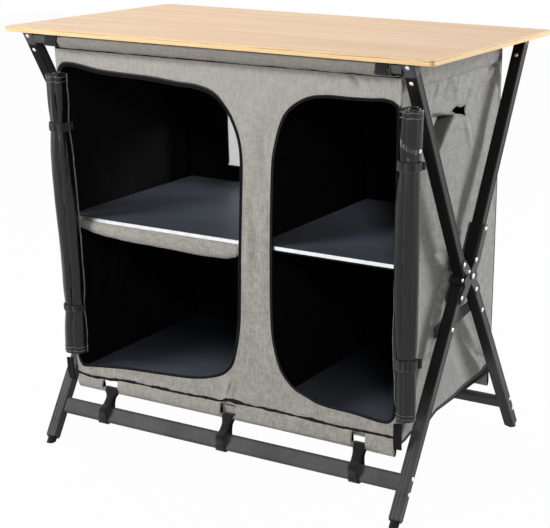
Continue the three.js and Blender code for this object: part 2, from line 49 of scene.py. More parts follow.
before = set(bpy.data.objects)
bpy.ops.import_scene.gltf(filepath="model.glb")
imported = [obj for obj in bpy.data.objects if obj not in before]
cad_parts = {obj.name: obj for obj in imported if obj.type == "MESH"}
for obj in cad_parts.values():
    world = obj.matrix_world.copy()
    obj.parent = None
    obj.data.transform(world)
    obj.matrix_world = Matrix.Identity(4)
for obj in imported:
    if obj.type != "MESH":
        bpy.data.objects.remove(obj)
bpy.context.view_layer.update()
MM = 0.001


# Sizes that several pieces share, taken from the frame in metres
def place(node):
    low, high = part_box(node)
    return low, high, (low + high) / 2


FRONT_LOW, FRONT_HIGH, FRONT_MID = place("front_panel")
SIDE_LOW, SIDE_HIGH, SIDE_MID = place("side_panel_right")
BACK_LOW, BACK_HIGH, BACK_MID = place("back_panel")
FLOOR_LOW, FLOOR_HIGH, _ = place("floor_panel")
DIVIDER_LOW, DIVIDER_HIGH, DIVIDER_MID = place("divider_panel")
HUB_Z = place("pivot_bolt_right")[2].z
LEG_OUTER = place("upper_leg_front_right")[1].x
LEG_INNER = place("upper_leg_front_right")[0].x
UNDERSIDE = place("worktop")[0].z

# The edge of each doorway as it hangs, in millimetres across and up, outer top corner first
LEFT_DOORWAY = [
    (-349, 696), (-343, 727), (-318, 733), (-258, 725.5), (-198, 723), (-139, 721), (-89, 717),
    (-45, 715), (-10, 705.5), (15, 684), (30, 659), (40.5, 630), (44, 590), (41, 520), (37, 436), (33.6, 362),
    (28.8, 288), (17, 228), (3, 204), (-20, 189), (-69, 175.5), (-152, 168.5), (-237, 163), (-318, 154),
    (-343, 160), (-349, 190), (-349, 300), (-349, 440), (-349, 580),
]
RIGHT_DOORWAY = [
    (349, 700), (343, 719), (324, 724.5), (300, 723), (260, 721.5), (220, 721.5), (186, 717), (158, 704),
    (138, 687), (126, 665), (116, 634), (109, 599), (106, 535), (103.5, 445), (101.5, 353), (102.5, 292),
    (108.5, 255), (121, 221), (144, 196), (174, 183.5), (207, 174.5), (270, 171), (325, 165), (343, 172),
    (349, 195), (349, 300), (349, 440), (349, 580),
]


class ClothSettings(bpy.types.PropertyGroup):
    """Sizes and colours of the cabinet's cloth."""

    cell: FloatProperty(
        name="Cell", description="Spacing of the points of a cloth wall", default=3.6 * MM, unit="LENGTH")
    thickness: FloatProperty(
        name="Thickness", description="Thickness of the grey cloth with its lining", default=1.2 * MM,
        unit="LENGTH")
    fold_depth: FloatProperty(
        name="Fold depth", description="Scale of all hanging folds", default=1.0, min=0.0, max=3.0)
    grey_light: FloatVectorProperty(
        name="Light yarn", description="Light yarn of the grey cloth", default=(0.50, 0.475, 0.435),
        subtype="COLOR", size=3)
    grey_dark: FloatVectorProperty(
        name="Dark yarn", description="Dark yarn of the grey cloth", default=(0.27, 0.258, 0.238),
        subtype="COLOR", size=3)
    lining: FloatVectorProperty(
        name="Lining", description="Black coated inside of the cloth", default=(0.0035, 0.0035, 0.004),
        subtype="COLOR", size=3)
    door: FloatVectorProperty(
        name="Door cloth", description="Coated cloth of the rolled doors", default=(0.0048, 0.0048, 0.0052),
        subtype="COLOR", size=3)
    webbing: FloatVectorProperty(
        name="Webbing", description="Black webbing", default=(0.012, 0.012, 0.0125), subtype="COLOR", size=3)
    piping: FloatVectorProperty(
        name="Piping", description="Pale piping of the rolled doors", default=(0.42, 0.42, 0.42),
        subtype="COLOR", size=3)


class FrameSettings(bpy.types.PropertyGroup):
    """Colours of the frame, the boards and the small metal pieces."""

    tube: FloatVectorProperty(
        name="Tube", description="Black finish of the tubes", default=(0.085, 0.085, 0.086),
        subtype="COLOR", size=3)
    plastic: FloatVectorProperty(
        name="Plastic", description="Moulded black plastic", default=(0.014, 0.014, 0.0145),
        subtype="COLOR", size=3)
    wood: FloatVectorProperty(
        name="Wood", description="Face of the worktop", default=(0.90, 0.66, 0.45), subtype="COLOR", size=3)
    wood_edge: FloatVectorProperty(
        name="Wood edge", description="Sawn edge of the worktop", default=(1.0, 0.73, 0.40),
        subtype="COLOR", size=3)
    board: FloatVectorProperty(
        name="Board", description="Slate coating of the boards", default=(0.092, 0.107, 0.135),
        subtype="COLOR", size=3)
    rivet_radius: FloatProperty(
        name="Rivet radius", description="Radius of a rivet's head", default=4.2 * MM, unit="LENGTH")
    rivet_height: FloatProperty(
        name="Rivet height", description="Height of a rivet's head", default=1.8 * MM, unit="LENGTH")


class StageSettings(bpy.types.PropertyGroup):
    """The floor, the lamps and the camera."""

    floor: FloatVectorProperty(
        name="Floor", description="Colour of the floor", default=(0.5, 0.5, 0.5), subtype="COLOR", size=3)
    sky: FloatProperty(name="Sky", description="Strength of the even light", default=0.07, min=0)
    key: FloatProperty(name="Key", description="Power of the main lamp in watts", default=76, min=0)
    top: FloatProperty(name="Top", description="Power of the lamp overhead in watts", default=34, min=0)
    fill: FloatProperty(name="Fill", description="Power of the side lamp in watts", default=88, min=0)
    glint: FloatProperty(name="Glint", description="Power of the small front lamp in watts", default=24, min=0)
    azimuth: FloatProperty(
        name="Azimuth", description="Where the camera stands round the object",
        default=math.radians(27.73283), subtype="ANGLE")
    elevation: FloatProperty(
        name="Elevation", description="How far the camera looks down", default=math.radians(20.59519),
        subtype="ANGLE")
    roll: FloatProperty(
        name="Roll", description="Tilt of the camera", default=math.radians(0.634536), subtype="ANGLE")


# Shader maths written as expressions
class Value:
    """A shader number that can be used in sums like any number."""

    def __init__(self, finish, socket):
        self.finish = finish
        self.socket = socket

    def _sum(self, operation, *others):
        return self.finish.node("ShaderNodeMath", {"operation": operation}, self, *others)[0]

    def __add__(self, other):
        return self._sum("ADD", other)

    __radd__ = __add__

    def __sub__(self, other):
        return self._sum("SUBTRACT", other)

    def __rsub__(self, other):
        return self.finish.node("ShaderNodeMath", {"operation": "SUBTRACT"}, other, self)[0]

    def __mul__(self, other):
        return self._sum("MULTIPLY", other)

    def __truediv__(self, other):
        return self._sum("DIVIDE", other)

    def __gt__(self, other):
        return self._sum("GREATER_THAN", other)

    def __lt__(self, other):
        return self._sum("LESS_THAN", other)

    def wave(self, pitch):
        """A sine wave over a length, with its pitch in millimetres."""
        return (self * (2 * math.pi / (pitch * MM)))._sum("SINE")

    def size(self):
        return self._sum("ABSOLUTE")

    def power(self, exponent):
        return self._sum("POWER", exponent)

    def fraction(self):
        return self._sum("FRACT")

    def clamped(self):
        return self.finish.node("ShaderNodeClamp", {}, self, 0.0, 1.0)[0]

    def between(self, low, high):
        """0 below low, 1 above high, and smooth between them."""
        return self.finish.node(
            "ShaderNodeMapRange", {"interpolation_type": "SMOOTHSTEP"}, self, low, high, 0.0, 1.0)[0]


class Finish:
    """A material under construction, with one Principled shader, or the nodes of a given tree."""

    def __init__(self, name, tree=None):
        if tree is None:
            self.material = bpy.data.materials.new(name)
            self.material.use_nodes = True
            tree = self.material.node_tree
            self.shader = tree.nodes["Principled BSDF"]
        self.tree = tree

    def node(self, kind, settings, *inputs, **named):
        """A node of that type. Settings come first, then the values or links of its sockets."""
        made = self.tree.nodes.new(kind)
        for key, value in settings.items():
            setattr(made, key, value)
        pairs = list(zip(made.inputs, inputs))
        pairs += [(made.inputs[key.replace("_", " ")], value) for key, value in named.items()]
        for socket, value in pairs:
            self.feed(socket, value)
        return [Value(self, socket) for socket in made.outputs]

    def feed(self, socket, value):
        if value is None:
            return
        if isinstance(value, Value):
            self.tree.links.new(value.socket, socket)
        elif socket.type == "RGBA":
            socket.default_value = (*value[:3], 1.0)
        else:
            socket.default_value = value

    def set(self, **named):
        for key, value in named.items():
            self.feed(self.shader.inputs[key.replace("_", " ")], value)
        return self

    def point(self):
        """The point on the piece."""
        return self.node("ShaderNodeTexCoord", {})[3]

    def place(self):
        """The point on the piece, as separate numbers, and as one vector."""
        vector = self.point()
        return (*self.node("ShaderNodeSeparateXYZ", {}, vector), vector)

    def map(self, name):
        """The piece's own map of lengths, as separate numbers, and as one vector."""
        vector = self.node("ShaderNodeUVMap", {"uv_map": name})[0]
        across, up, _ = self.node("ShaderNodeSeparateXYZ", {}, vector)
        return across, up, vector

    def stretched(self, vector, scale, turn=(0.0, 0.0, 0.0)):
        return self.node("ShaderNodeMapping", {}, vector, (0.0, 0.0, 0.0), turn, scale)[0]

    def noise(self, vector, scale, detail=3.0, roughness=0.55, distortion=0.0):
        return self.node(
            "ShaderNodeTexNoise", {}, Vector=vector, Scale=scale, Detail=detail, Roughness=roughness,
            Distortion=distortion)[0]

    def streaks(self, vector, scale, detail, roughness=0.55, distortion=0.0):
        """Noise with a scale of its own along each direction."""
        return self.noise(self.stretched(vector, scale), 1.0, detail, roughness, distortion)

    def mix(self, share, first, second):
        none = (None,) * 5
        return self.node("ShaderNodeMix", {"data_type": "RGBA"}, share, *none, first, second)[2]

    def shown(self):
        """1 where the camera looks straight, through glass or by a mirror, else 0."""
        paths = self.node("ShaderNodeLightPath", {})
        return (paths[0] + paths[3] + paths[6]).clamped()

    def bump(self, height, distance, strength=1.0, after=None):
        return self.node(
            "ShaderNodeBump", {}, Strength=strength, Distance=distance, Height=height, Normal=after)[0]


def tint(colour, *factors):
    """A colour times one factor, or times one for each channel."""
    return tuple(c * f for c, f in zip(colour, factors if len(factors) > 1 else factors * 3))


def grey_cloth(name, settings, shade=1.0, cool=0.0):
    """Grey melange polyester: two yarns, slubs both ways and a plain weave.

    The cool one is for walls in shade: its cooler cast is painted shade, and it has a painted shadow in the slot's
    pocket. The other is painted lighter towards its top, as painted light.
    """
    finish = Finish(name)
    x, y, z, point = finish.place()
    across = x + y
    slub_up = finish.streaks(point, (420.0, 420.0, 60.0), 2.0)
    slub_across = finish.streaks(point, (60.0, 60.0, 520.0), 2.0)
    fleck = finish.streaks(point, (900.0, 900.0, 900.0), 2.0)
    cloud = finish.noise(point, 9.0, 4.0)
    yarn = (slub_up * 0.46 + slub_across * 0.34 + fleck * 0.35 - 0.08).between(0.36, 0.66)
    # The cooler cast is painted shade, for the walls in shade
    cast = (shade * (1 - 0.06 * cool), shade, shade * (1 + 0.05 * cool))
    light, dark = tint(settings.grey_light, *cast), tint(settings.grey_dark, *cast)
    body = finish.mix(yarn, dark, light)
    toned = finish.mix(cloud.between(0.3, 0.75) * 0.3, body, tint(light, 0.78))
    patch = finish.noise(point, 70.0, 4.0)
    toned = finish.mix(patch.between(0.42, 0.7) * 0.22, toned, tint(light, 1.25))
    if cool:
        # Painted shadow in a band along the slanted edge of the slot's pocket
        lean = (z - 0.673) * 1.02 - 0.003 - y
        pocket = lean.between(-0.001, 0.001) * (1 - lean.between(0.0035, 0.009)) * z.between(0.6, 0.64)
        pocket = pocket * (1 - z.between(0.674, 0.682)) * (x > 0.3)
        toned = finish.mix(pocket * 0.75, toned, tint(dark, 0.2))
    else:
        # Painted light: the front cloth is lighter towards the top
        toned = finish.mix(z.between(0.4, 0.74) * 0.3, toned, tint(light, 1.2))
    weave = across.wave(1.1) * z.wave(1.1)
    height = weave * 0.5 + yarn * 0.9
    finish.set(Base_Color=toned, Roughness=0.92, Normal=finish.bump(height, 0.00022, 0.8),
               Sheen_Weight=0.25, Sheen_Roughness=0.5, Specular_IOR_Level=0.25)
    return finish.material


def lining_cloth(name, settings):
    """Black coated lining with slack creases, and painted shade that darkens their hollows."""
    finish = Finish(name)
    point = finish.point()
    crease = finish.streaks(point, (9.0, 9.0, 5.0), 5.0, 0.6, 0.8)
    grain = finish.noise(point, 900.0, 2.0)
    # Painted shade in the creases: darker in their hollows, lighter on their ridges
    colour = finish.mix(crease.between(0.35, 0.7), tint(settings.lining, 0.7), tint(settings.lining, 1.35))
    finish.set(Base_Color=colour, Roughness=0.7 + grain * 0.15, Specular_IOR_Level=0.1,
               Normal=finish.bump(crease + grain * 0.03, 0.006, 0.5))
    return finish.material


def door_cloth(name, settings):
    """Charcoal coated cloth of the doors: smooth, creased lengthwise and rather glossy."""
    finish = Finish(name)
    across, up, _ = finish.map("cloth")
    x, y, z, point = finish.place()
    pulls = finish.streaks(point, (42.0, 42.0, 8.0), 4.0, 0.6, 0.8)
    small = finish.streaks(point, (160.0, 160.0, 60.0), 3.0)
    weave = across.wave(0.8) * up.wave(0.8)
    scuff = finish.noise(point, 45.0, 4.0).between(0.52, 0.78)
    colour = finish.mix(scuff * 0.5, settings.door, tint(settings.door, 1.9))
    # The dent in the right roll is a round one around this place beside its middle
    beside = (x - 0.378) * 0.985 + (y + 0.227) * 0.174 - 0.022
    rise = z - 0.690
    crush = (beside * beside + rise * rise).power(0.5).between(0.031, 0.041) * (x > 0.3)
    bend = finish.bump(crush, 0.0036, 1.0, finish.bump(pulls, 0.0018, 0.5))
    finish.set(Base_Color=colour, Roughness=0.17 + small * 0.18, Specular_IOR_Level=0.26,
               Coat_Weight=0.25 + crush * (1 - crush) * 3.0, Coat_Roughness=0.06,
               Normal=finish.bump(weave * 0.4 + small, 0.00006, 0.5, bend))
    return finish.material


def webbing_cloth(name, settings, shade=1.0):
    """Black webbing with fine cross ribs."""
    finish = Finish(name)
    across, up, flat = finish.map("cloth")
    rib = up.wave(1.3)
    cross = across.wave(2.2)
    fuzz = finish.noise(flat, 700.0, 3.0)
    colour = finish.mix(
        (rib * 0.25 + fuzz * 0.7).between(0.1, 0.75), tint(settings.webbing, 0.6 * shade),
        tint(settings.webbing, 1.7 * shade))
    finish.set(Base_Color=colour, Roughness=0.8, Normal=finish.bump(rib * 0.5 + cross * 0.3, 0.0003, 0.9),
               Sheen_Weight=0.3, Specular_IOR_Level=0.15)
    return finish.material


def plain_finish(name, colour, roughness, grain=0.15, scale=300.0, metallic=0.0, bump=0.00008):
    """Moulded or coated stuff: a colour with faint mottling, a fine grain and uneven gloss."""
    finish = Finish(name)
    point = finish.point()
    mottle = finish.noise(point, 30.0, 4.0)
    fine = finish.noise(point, scale, 3.0)
    shade = finish.mix(mottle.between(0.3, 0.7), tint(colour, 1 - grain), tint(colour, 1 + grain))
    finish.set(Base_Color=shade, Roughness=roughness + (fine - 0.5) * 0.12, Metallic=metallic,
               Specular_IOR_Level=0.2, Normal=finish.bump(fine, bump, 0.7))
    return finish.material


def tube_finish(name, colour, lean, shade_end=None):
    """Satin black anodised tube with fine drawing lines along it. A leg leans by that angle, a rail runs across.

    The front and rear faces of a leg are painted much darker than its flat sides, as painted shade; on a lower leg
    this painted shade fades out below the given height.
    """
    finish = Finish(name)
    x, _, z, point = finish.place()
    if lean is None:
        drawn = finish.stretched(point, (16.0, 800.0, 800.0))
    else:
        turned = finish.stretched(point, (1.0, 1.0, 1.0), (-lean, 0.0, 0.0))
        drawn = finish.stretched(turned, (800.0, 800.0, 16.0))
    lines = finish.noise(drawn, 1.0, 3.0)
    mottle = finish.noise(point, 14.0, 3.0)
    scuff = finish.noise(point, 160.0, 4.0).between(0.66, 0.8)
    shade = finish.mix(mottle.between(0.3, 0.7), tint(colour, 0.85), tint(colour, 1.2))
    scuffed_and_shaded = finish.mix(scuff * 0.2, shade, (0.12, 0.12, 0.122))
    if lean is not None:
        # Painted shade: the front and rear faces of a leg are darkened, on a lower leg only above the given height
        flat_side = (x.size() > LEG_OUTER - 0.4 * MM) + (x.size() < LEG_INNER + 0.4 * MM)
        shaded_faces = 1 - flat_side
        if shade_end:
            shaded_faces = shaded_faces * z.between(shade_end - 40 * MM, shade_end + 30 * MM)
        scuffed_and_shaded = finish.mix(shaded_faces * 0.85, scuffed_and_shaded, tint(colour, 0.1))
    finish.set(Base_Color=scuffed_and_shaded, Roughness=0.42 + lines * 0.16, Specular_IOR_Level=0.1,
               Normal=finish.bump(lines, 0.00012, 0.5))
    return finish.material


def wood_finish(name, settings):
    """Light bamboo plywood: long fine grain, faint strips, pores, and layers at the sawn edge."""
    finish = Finish(name)
    _, _, z, point = finish.place()
    long_grain = finish.streaks(point, (2.6, 70.0, 70.0), 5.0, 0.6, 0.7)
    figure = finish.streaks(point, (0.9, 9.0, 9.0), 4.0, 0.55, 1.6)
    pores = finish.streaks(point, (16.0, 620.0, 620.0), 2.0)
    strip = finish.streaks(point, (0.01, 48.0, 0.01), 0.0)
    face = finish.mix(figure.between(0.35, 0.68), settings.wood, tint(settings.wood, 0.92, 0.84, 0.76))
    face = finish.mix(long_grain.between(0.45, 0.75) * 0.6, face, tint(settings.wood, 0.86, 0.74, 0.62))
    face = finish.mix(pores.between(0.62, 0.74) * 0.35, face, tint(settings.wood, 0.62))
    face = finish.mix(strip.between(0.35, 0.65) * 0.12, face, tint(settings.wood, 1.12))
    wander = finish.streaks(point, (14.0, 14.0, 0.01), 2.0) * (1.6 * MM)
    upper_layer, lower_layer = UNDERSIDE + 7.6 * MM, UNDERSIDE + 3.4 * MM
    glue = 1 - (z + wander - upper_layer).size().between(0.25 * MM, 0.9 * MM)
    lower_glue = 1 - (z + wander - lower_layer).size().between(0.1 * MM, 0.6 * MM)
    streak = finish.streaks(point, (30.0, 30.0, 900.0), 3.0)
    patch = finish.streaks(point, (7.0, 7.0, 60.0), 2.0)
    edge = finish.mix(streak.between(0.35, 0.7) * 0.5, settings.wood_edge,
                      tint(settings.wood_edge, 0.88, 0.72, 0.5))
    edge = finish.mix(glue * patch.between(0.35, 0.6) * 0.75, edge, (0.42, 0.22, 0.08))
    edge = finish.mix(lower_glue * 0.3, edge, (0.55, 0.33, 0.14))
    _, _, up = finish.node("ShaderNodeSeparateXYZ", {}, finish.node("ShaderNodeTexCoord", {})[1])
    side_on = 1 - up.size().between(0.35, 0.75)
    finish.set(Base_Color=finish.mix(side_on, face, edge), Roughness=0.42 + long_grain * 0.18,
               Specular_IOR_Level=0.35, Normal=finish.bump(pores * 0.5 + long_grain, 0.00012, 0.6))
    return finish.material


def board_finish(name, colour, back=2.8):
    """Slate-grey coated board with a faint orange peel and light rub marks; back is its tint at the back, which is
    painted light above 1 and painted shade below 1.
    """
    finish = Finish(name)
    _, y, _, point = finish.place()
    peel = finish.noise(point, 420.0, 2.0)
    rub = finish.streaks(point, (8.0, 40.0, 8.0), 4.0)
    shade = finish.mix(rub.between(0.4, 0.7), colour, tint(colour, 1.2))
    # Towards the back the colour is tinted by back: painted light on the shelf boards, painted shade on the base
    # boards
    shade = finish.mix(y.between(-0.2, 0.15), shade, tint(colour, back))
    finish.set(Base_Color=shade, Roughness=0.34 + rub * 0.16, Specular_IOR_Level=0.6,
               Normal=finish.bump(peel, 0.0001, 0.5))
    return finish.material


def metal_finish(name, colour, roughness, along=(900.0, 900.0, 900.0)):
    """Bright metal with fine scratches and slight staining."""
    finish = Finish(name)
    point = finish.point()
    scratch = finish.streaks(point, along, 3.0)
    stain = finish.noise(point, 60.0, 3.0)
    shade = finish.mix(stain.between(0.35, 0.7), colour, tint(colour, 0.86))
    finish.set(Base_Color=shade, Metallic=1.0, Roughness=roughness + scratch * 0.1,
               Normal=finish.bump(scratch, 0.00005, 0.5))
    return finish.material


def zip_tape(name, settings):
    """Charcoal zip tape: a flat knit with a stitched line, and a painted highlight on its outer edge at the
    doorways' heads.
    """
    finish = Finish(name)
    across, up, flat = finish.map("cloth")
    z = finish.place()[2]
    knit = up.wave(1.1) * across.wave(0.9)
    stitch = ((across - 5.2 * MM).size() < 0.5 * MM) * ((up / (3.2 * MM)).fraction() < 0.68)
    fuzz = finish.noise(flat, 600.0, 3.0)
    body = finish.mix(fuzz, tint(settings.door, 0.7), tint(settings.door, 1.6))
    # Painted highlight: the outer edge is paler only near the heads of the doorways, where the tape faces up
    edge = across.between(2.0 * MM, 7.6 * MM) * z.between(0.68, 0.715)
    paler = finish.mix(edge * 0.75, body, (0.14, 0.14, 0.14))
    finish.set(Base_Color=finish.mix(stitch * 0.3, paler, (0.17, 0.17, 0.17)), Roughness=0.8,
               Specular_IOR_Level=0.12, Normal=finish.bump(knit * 0.4 + stitch, 0.0003, 0.8))
    return finish.material


def zip_coil(name):
    """Black nylon coil: small rounded teeth in a row."""
    finish = Finish(name)
    _, up, flat = finish.map("cloth")
    tooth = ((up / (1.5 * MM)).fraction() - 0.5).size()
    toned = finish.noise(flat, 300.0, 2.0)
    finish.set(Base_Color=finish.mix(toned * tooth.between(0.1, 0.5), (0.006, 0.006, 0.006), (0.03, 0.03, 0.031)),
               Roughness=0.4, Specular_IOR_Level=0.2, Normal=finish.bump(tooth, 0.0008, 1.0))
    return finish.material


def thread_finish(name, colour):
    """Twisted thread or piping: a fine diagonal rib with a little fuzz."""
    finish = Finish(name)
    x, y, z, point = finish.place()
    twist = (x + y * 0.7 + z).wave(1.6)
    fuzz = finish.noise(point, 700.0, 3.0)
    soiled = finish.noise(point, 35.0, 3.0).between(0.4, 0.7)
    body = finish.mix(fuzz, tint(colour, 0.75), colour)
    finish.set(Base_Color=finish.mix(soiled * 0.5, body, tint(colour, 0.4)), Roughness=0.75,
               Specular_IOR_Level=0.15, Normal=finish.bump(twist, 0.0003, 0.8))
    return finish.material


def tag_finish(name):
    """Black satin ribbon with a fine cross weave."""
    finish = Finish(name)
    _, _, z, point = finish.place()
    rib = z.wave(0.7)
    mottle = finish.noise(point, 220.0, 3.0)
    finish.set(Base_Color=finish.mix(mottle, (0.004, 0.004, 0.0042), (0.010, 0.010, 0.0105)),
               Roughness=0.5 + rib * 0.08, Specular_IOR_Level=0.1, Normal=finish.bump(rib, 0.0002, 0.7))
    return finish.material


def net_finish(name, colour, pitch):
    """Open knitted net: round holes between pale threads."""
    finish = Finish(name)
    x, _, z, point = finish.place()
    row = z / pitch
    column = x / (pitch * 1.15) + (row * 0.5).fraction().between(0.499, 0.501) * 0.5
    offset_x = column.fraction() - 0.5
    offset_z = row.fraction() - 0.5
    reach = (offset_x * offset_x + offset_z * offset_z).power(0.5)
    thread = reach.between(0.39, 0.44)
    fuzz = finish.noise(point, 900.0, 2.0)
    finish.set(Base_Color=finish.mix(fuzz, tint(colour, 0.8), colour), Roughness=0.85,
               Alpha=thread, Normal=finish.bump(reach, 0.0004, 0.6))
    return finish.material


def clamp(value):
    return min(1.0, max(0.0, value))


def eased(value):
    """0 below 0, 1 above 1, and smooth between them."""
    share = clamp(value)
    return share * share * (3 - 2 * share)


# Mesh helpers
UP = Vector((0, 0, 1))
RIGHT = Vector((1, 0, 0))
FORWARD = Vector((0, -1, 0))


def piece_from(bm, name, *materials):
    """A piece made from the mesh, which holds its place."""
    mesh = bpy.data.meshes.new(name)
    bm.to_mesh(mesh)
    bm.free()
    for material in materials:
        mesh.materials.append(material)
    made = bpy.data.objects.new(name, mesh)
    bpy.context.scene.collection.objects.link(made)
    return made


def smooth(made, angle=40.0):
    """Shades the faces smooth except at edges sharper than the angle."""
    bm = bmesh.new()
    bm.from_mesh(made.data)
    for face in bm.faces:
        face.smooth = True
    for edge in bm.edges:
        edge.smooth = not (edge.is_manifold and edge.calc_face_angle(0.0) > math.radians(angle))
    bm.to_mesh(made.data)
    bm.free()
    return made


def sewn(bm, name, thickness, *materials, angle=60, offset=0.0):
    """A piece of cloth of that thickness. A second material, where given, is for its inner side."""
    made = smooth(piece_from(bm, name, *materials), angle)
    modifier = made.modifiers.new("thickness", "SOLIDIFY")
    modifier.thickness = thickness
    modifier.offset = offset
    if len(materials) > 1:
        modifier.material_offset = 1
    return made


def unit_grid(across, up):
    """A flat grid of that many cells, one metre each way around the middle."""
    bm = bmesh.new()
    bmesh.ops.create_grid(bm, x_segments=across, y_segments=up, size=0.5)
    return bm


def flat_grid(low, high, cell):
    """A flat grid between two corners, across along x and up along y."""
    steps = [max(2, round((b - a) / cell)) for a, b in zip(low, high)]
    bm = unit_grid(*steps)
    size = [b - a for a, b in zip(low, high)]
    bmesh.ops.scale(bm, vec=(size[0], size[1], 1.0), verts=bm.verts)
    bmesh.ops.translate(bm, vec=((low[0] + high[0]) / 2, (low[1] + high[1]) / 2, 0.0), verts=bm.verts)
    return bm


def add_map(bm, at=lambda spot: (spot.x, spot.y)):
    """Keeps a flat place for every point as a map in metres."""
    layer = bm.loops.layers.uv.new("cloth")
    for face in bm.faces:
        for loop in face.loops:
            loop[layer].uv = at(loop.vert.co)


def face_front(bm):
    """Turns every face that looks back."""
    for face in bm.faces:
        if face.normal.y > 0:
            face.normal_flip()


def face_out(bm, sign):
    """Turns a sleeve's faces outwards, in front where the sign is 1 and behind where it is -1."""
    bmesh.ops.recalc_face_normals(bm, faces=bm.faces)
    outer = max(bm.faces, key=lambda face: -sign * face.calc_center_median().y)
    if outer.normal.y * sign > 0:
        bmesh.ops.reverse_faces(bm, faces=bm.faces)


def lengths(line):
    """How far along a line each of its points lies."""
    runs = [0.0]
    for a, b in zip(line, line[1:]):
        runs.append(runs[-1] + (b - a).length)
    return runs


def band(rings):
    """Cloth bridged between closed rings of points."""
    bm = bmesh.new()
    loops = []
    for ring in rings:
        verts = [bm.verts.new(spot) for spot in ring]
        loops.append([bm.edges.new(pair) for pair in zip(verts, verts[1:] + verts[:1])])
    for a, b in zip(loops, loops[1:]):
        bmesh.ops.bridge_loops(bm, edges=a + b)
    return bm


def rounded(points, steps, closed=True):
    """A smooth line through the points."""
    count = len(points)
    line = []
    for index in range(count if closed else count - 1):
        p = [Vector(points[(index + k) % count] if closed else points[min(max(index + k, 0), count - 1)])
             for k in (-1, 0, 1, 2)]
        for step in range(steps):
            t = step / steps
            line.append(0.5 * (2 * p[1] + (p[2] - p[0]) * t
                               + (2 * p[0] - 5 * p[1] + 4 * p[2] - p[3]) * t * t
                               + (3 * p[1] - p[0] - 3 * p[2] + p[3]) * t ** 3))
    if not closed:
        line.append(Vector(points[-1]))
    return line


def inside(point, outline):
    """Whether a flat point lies inside a closed outline."""
    crossed = False
    for (ax, ay), (bx, by) in zip(outline, outline[1:] + outline[:1]):
        if (ay > point.y) != (by > point.y) and point.x < (bx - ax) * (point.y - ay) / (by - ay) + ax:
            crossed = not crossed
    return crossed


def nearest(point, outline):
    """The outline's point that lies nearest."""
    best, found = 1e9, None
    flat = point.xy
    for a, b in zip(outline, outline[1:] + outline[:1]):
        along = b - a
        share = clamp((flat - a).dot(along) / max(along.length_squared, 1e-12))
        spot = a + along * share
        gap = (spot - flat).length_squared
        if gap < best:
            best, found = gap, spot
    return found


def cut_opening(bm, outline, cell):
    """Takes the grid's faces out of the outline and draws the points around it onto the outline."""
    xs, ys = [p.x for p in outline], [p.y for p in outline]
    low, high = Vector((min(xs), min(ys))), Vector((max(xs), max(ys)))
    reach = 2 * cell
    doomed = []
    for vert in bm.verts:
        if not (low.x < vert.co.x < high.x and low.y < vert.co.y < high.y):
            continue
        if inside(vert.co, outline) and (nearest(vert.co, outline) - vert.co.xy).length > 0.45 * cell:
            doomed.append(vert)
    bmesh.ops.delete(bm, geom=doomed, context="VERTS")
    for vert in bm.verts:
        if not (low.x - reach < vert.co.x < high.x + reach and low.y - reach < vert.co.y < high.y + reach):
            continue
        if any(edge.is_boundary for edge in vert.link_edges):
            spot = nearest(vert.co, outline)
            if (spot - vert.co.xy).length < reach:
                vert.co.x, vert.co.y = spot
    bmesh.ops.dissolve_degenerate(bm, dist=cell * 0.02, edges=bm.edges)


def fold_height(x, y, folds):
    """How far a point stands out under the folds: each is its two ends, its half width and its height."""
    total = 0.0
    for ax, ay, bx, by, width, height in folds:
        dx, dy = bx - ax, by - ay
        long2 = dx * dx + dy * dy
        held = clamp(((x - ax) * dx + (y - ay) * dy) / long2)
        px, py = x - ax - held * dx, y - ay - held * dy
        gap2 = (px * px + py * py) / (width * width)
        if gap2 < 9:
            fade = 0.35 + 0.65 * math.sin(math.pi * held)
            total += height * fade * math.exp(-gap2)
    return total


def stand(bm, origin, across, up, out):
    """Sets a flat piece up: across, up and out are the directions of its x, y and z."""
    matrix = Matrix((across, up, out)).transposed().to_4x4()
    matrix.translation = origin
    bmesh.ops.transform(bm, matrix=matrix, verts=bm.verts)
    return bm


def along_curve(name, line, radius, material, sides=4):
    """A round bead along a line."""
    curve = bpy.data.curves.new(name, "CURVE")
    curve.dimensions = "3D"
    curve.bevel_depth = radius
    curve.bevel_resolution = sides
    curve.use_fill_caps = True
    spline = curve.splines.new("POLY")
    spline.points.add(len(line) - 1)
    for point, spot in zip(spline.points, line):
        point.co = (*spot, 1.0)
    holder = bpy.data.objects.new(name + "_line", curve)
    bpy.context.scene.collection.objects.link(holder)
    bpy.context.view_layer.update()
    mesh = bpy.data.meshes.new_from_object(holder.evaluated_get(bpy.context.evaluated_depsgraph_get()))
    bpy.data.objects.remove(holder)
    mesh.name = name
    mesh.materials.clear()
    mesh.materials.append(material)
    made = bpy.data.objects.new(name, mesh)
    bpy.context.scene.collection.objects.link(made)
    for polygon in mesh.polygons:
        polygon.use_smooth = True
    return made


def paint(material, *nodes):
    """Gives CAD nodes a finish."""
    for name in nodes:
        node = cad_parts[name]
        node.data.materials.clear()
        node.data.materials.append(material)


# Each side's name and the sign of its x
SIDES = (("left", -1), ("right", 1))


def shared(name, make, *given):
    """A finish that several pieces share, made once."""
    return bpy.data.materials.get(name) or make(name, *given)


def grey_side_of(scene):
    return shared("Grey melange cloth", grey_cloth, scene.cupboard_cloth)


def grey_cool_of(scene):
    return shared("Grey melange cloth in shade", grey_cloth, scene.cupboard_cloth, 1.0, 1.0)


def lining_of(scene):
    return shared("Black lining", lining_cloth, scene.cupboard_cloth)


def hand_over(made, body, stands_for=(), fold=None):
    """Gives a piece its body and hides the nodes it stands for; a piece given a fold gets a mesh of its own.

    fold is a place along y, where that place ends up when the frame is shut, and how much depth is kept; its
    values are not used.
    """
    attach(made, body)
    if stands_for:
        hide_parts(*stands_for)
    if fold:
        start, end, keep = fold
        anchor = (end - keep * start) / (1 - keep)
        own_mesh(made)
    return made


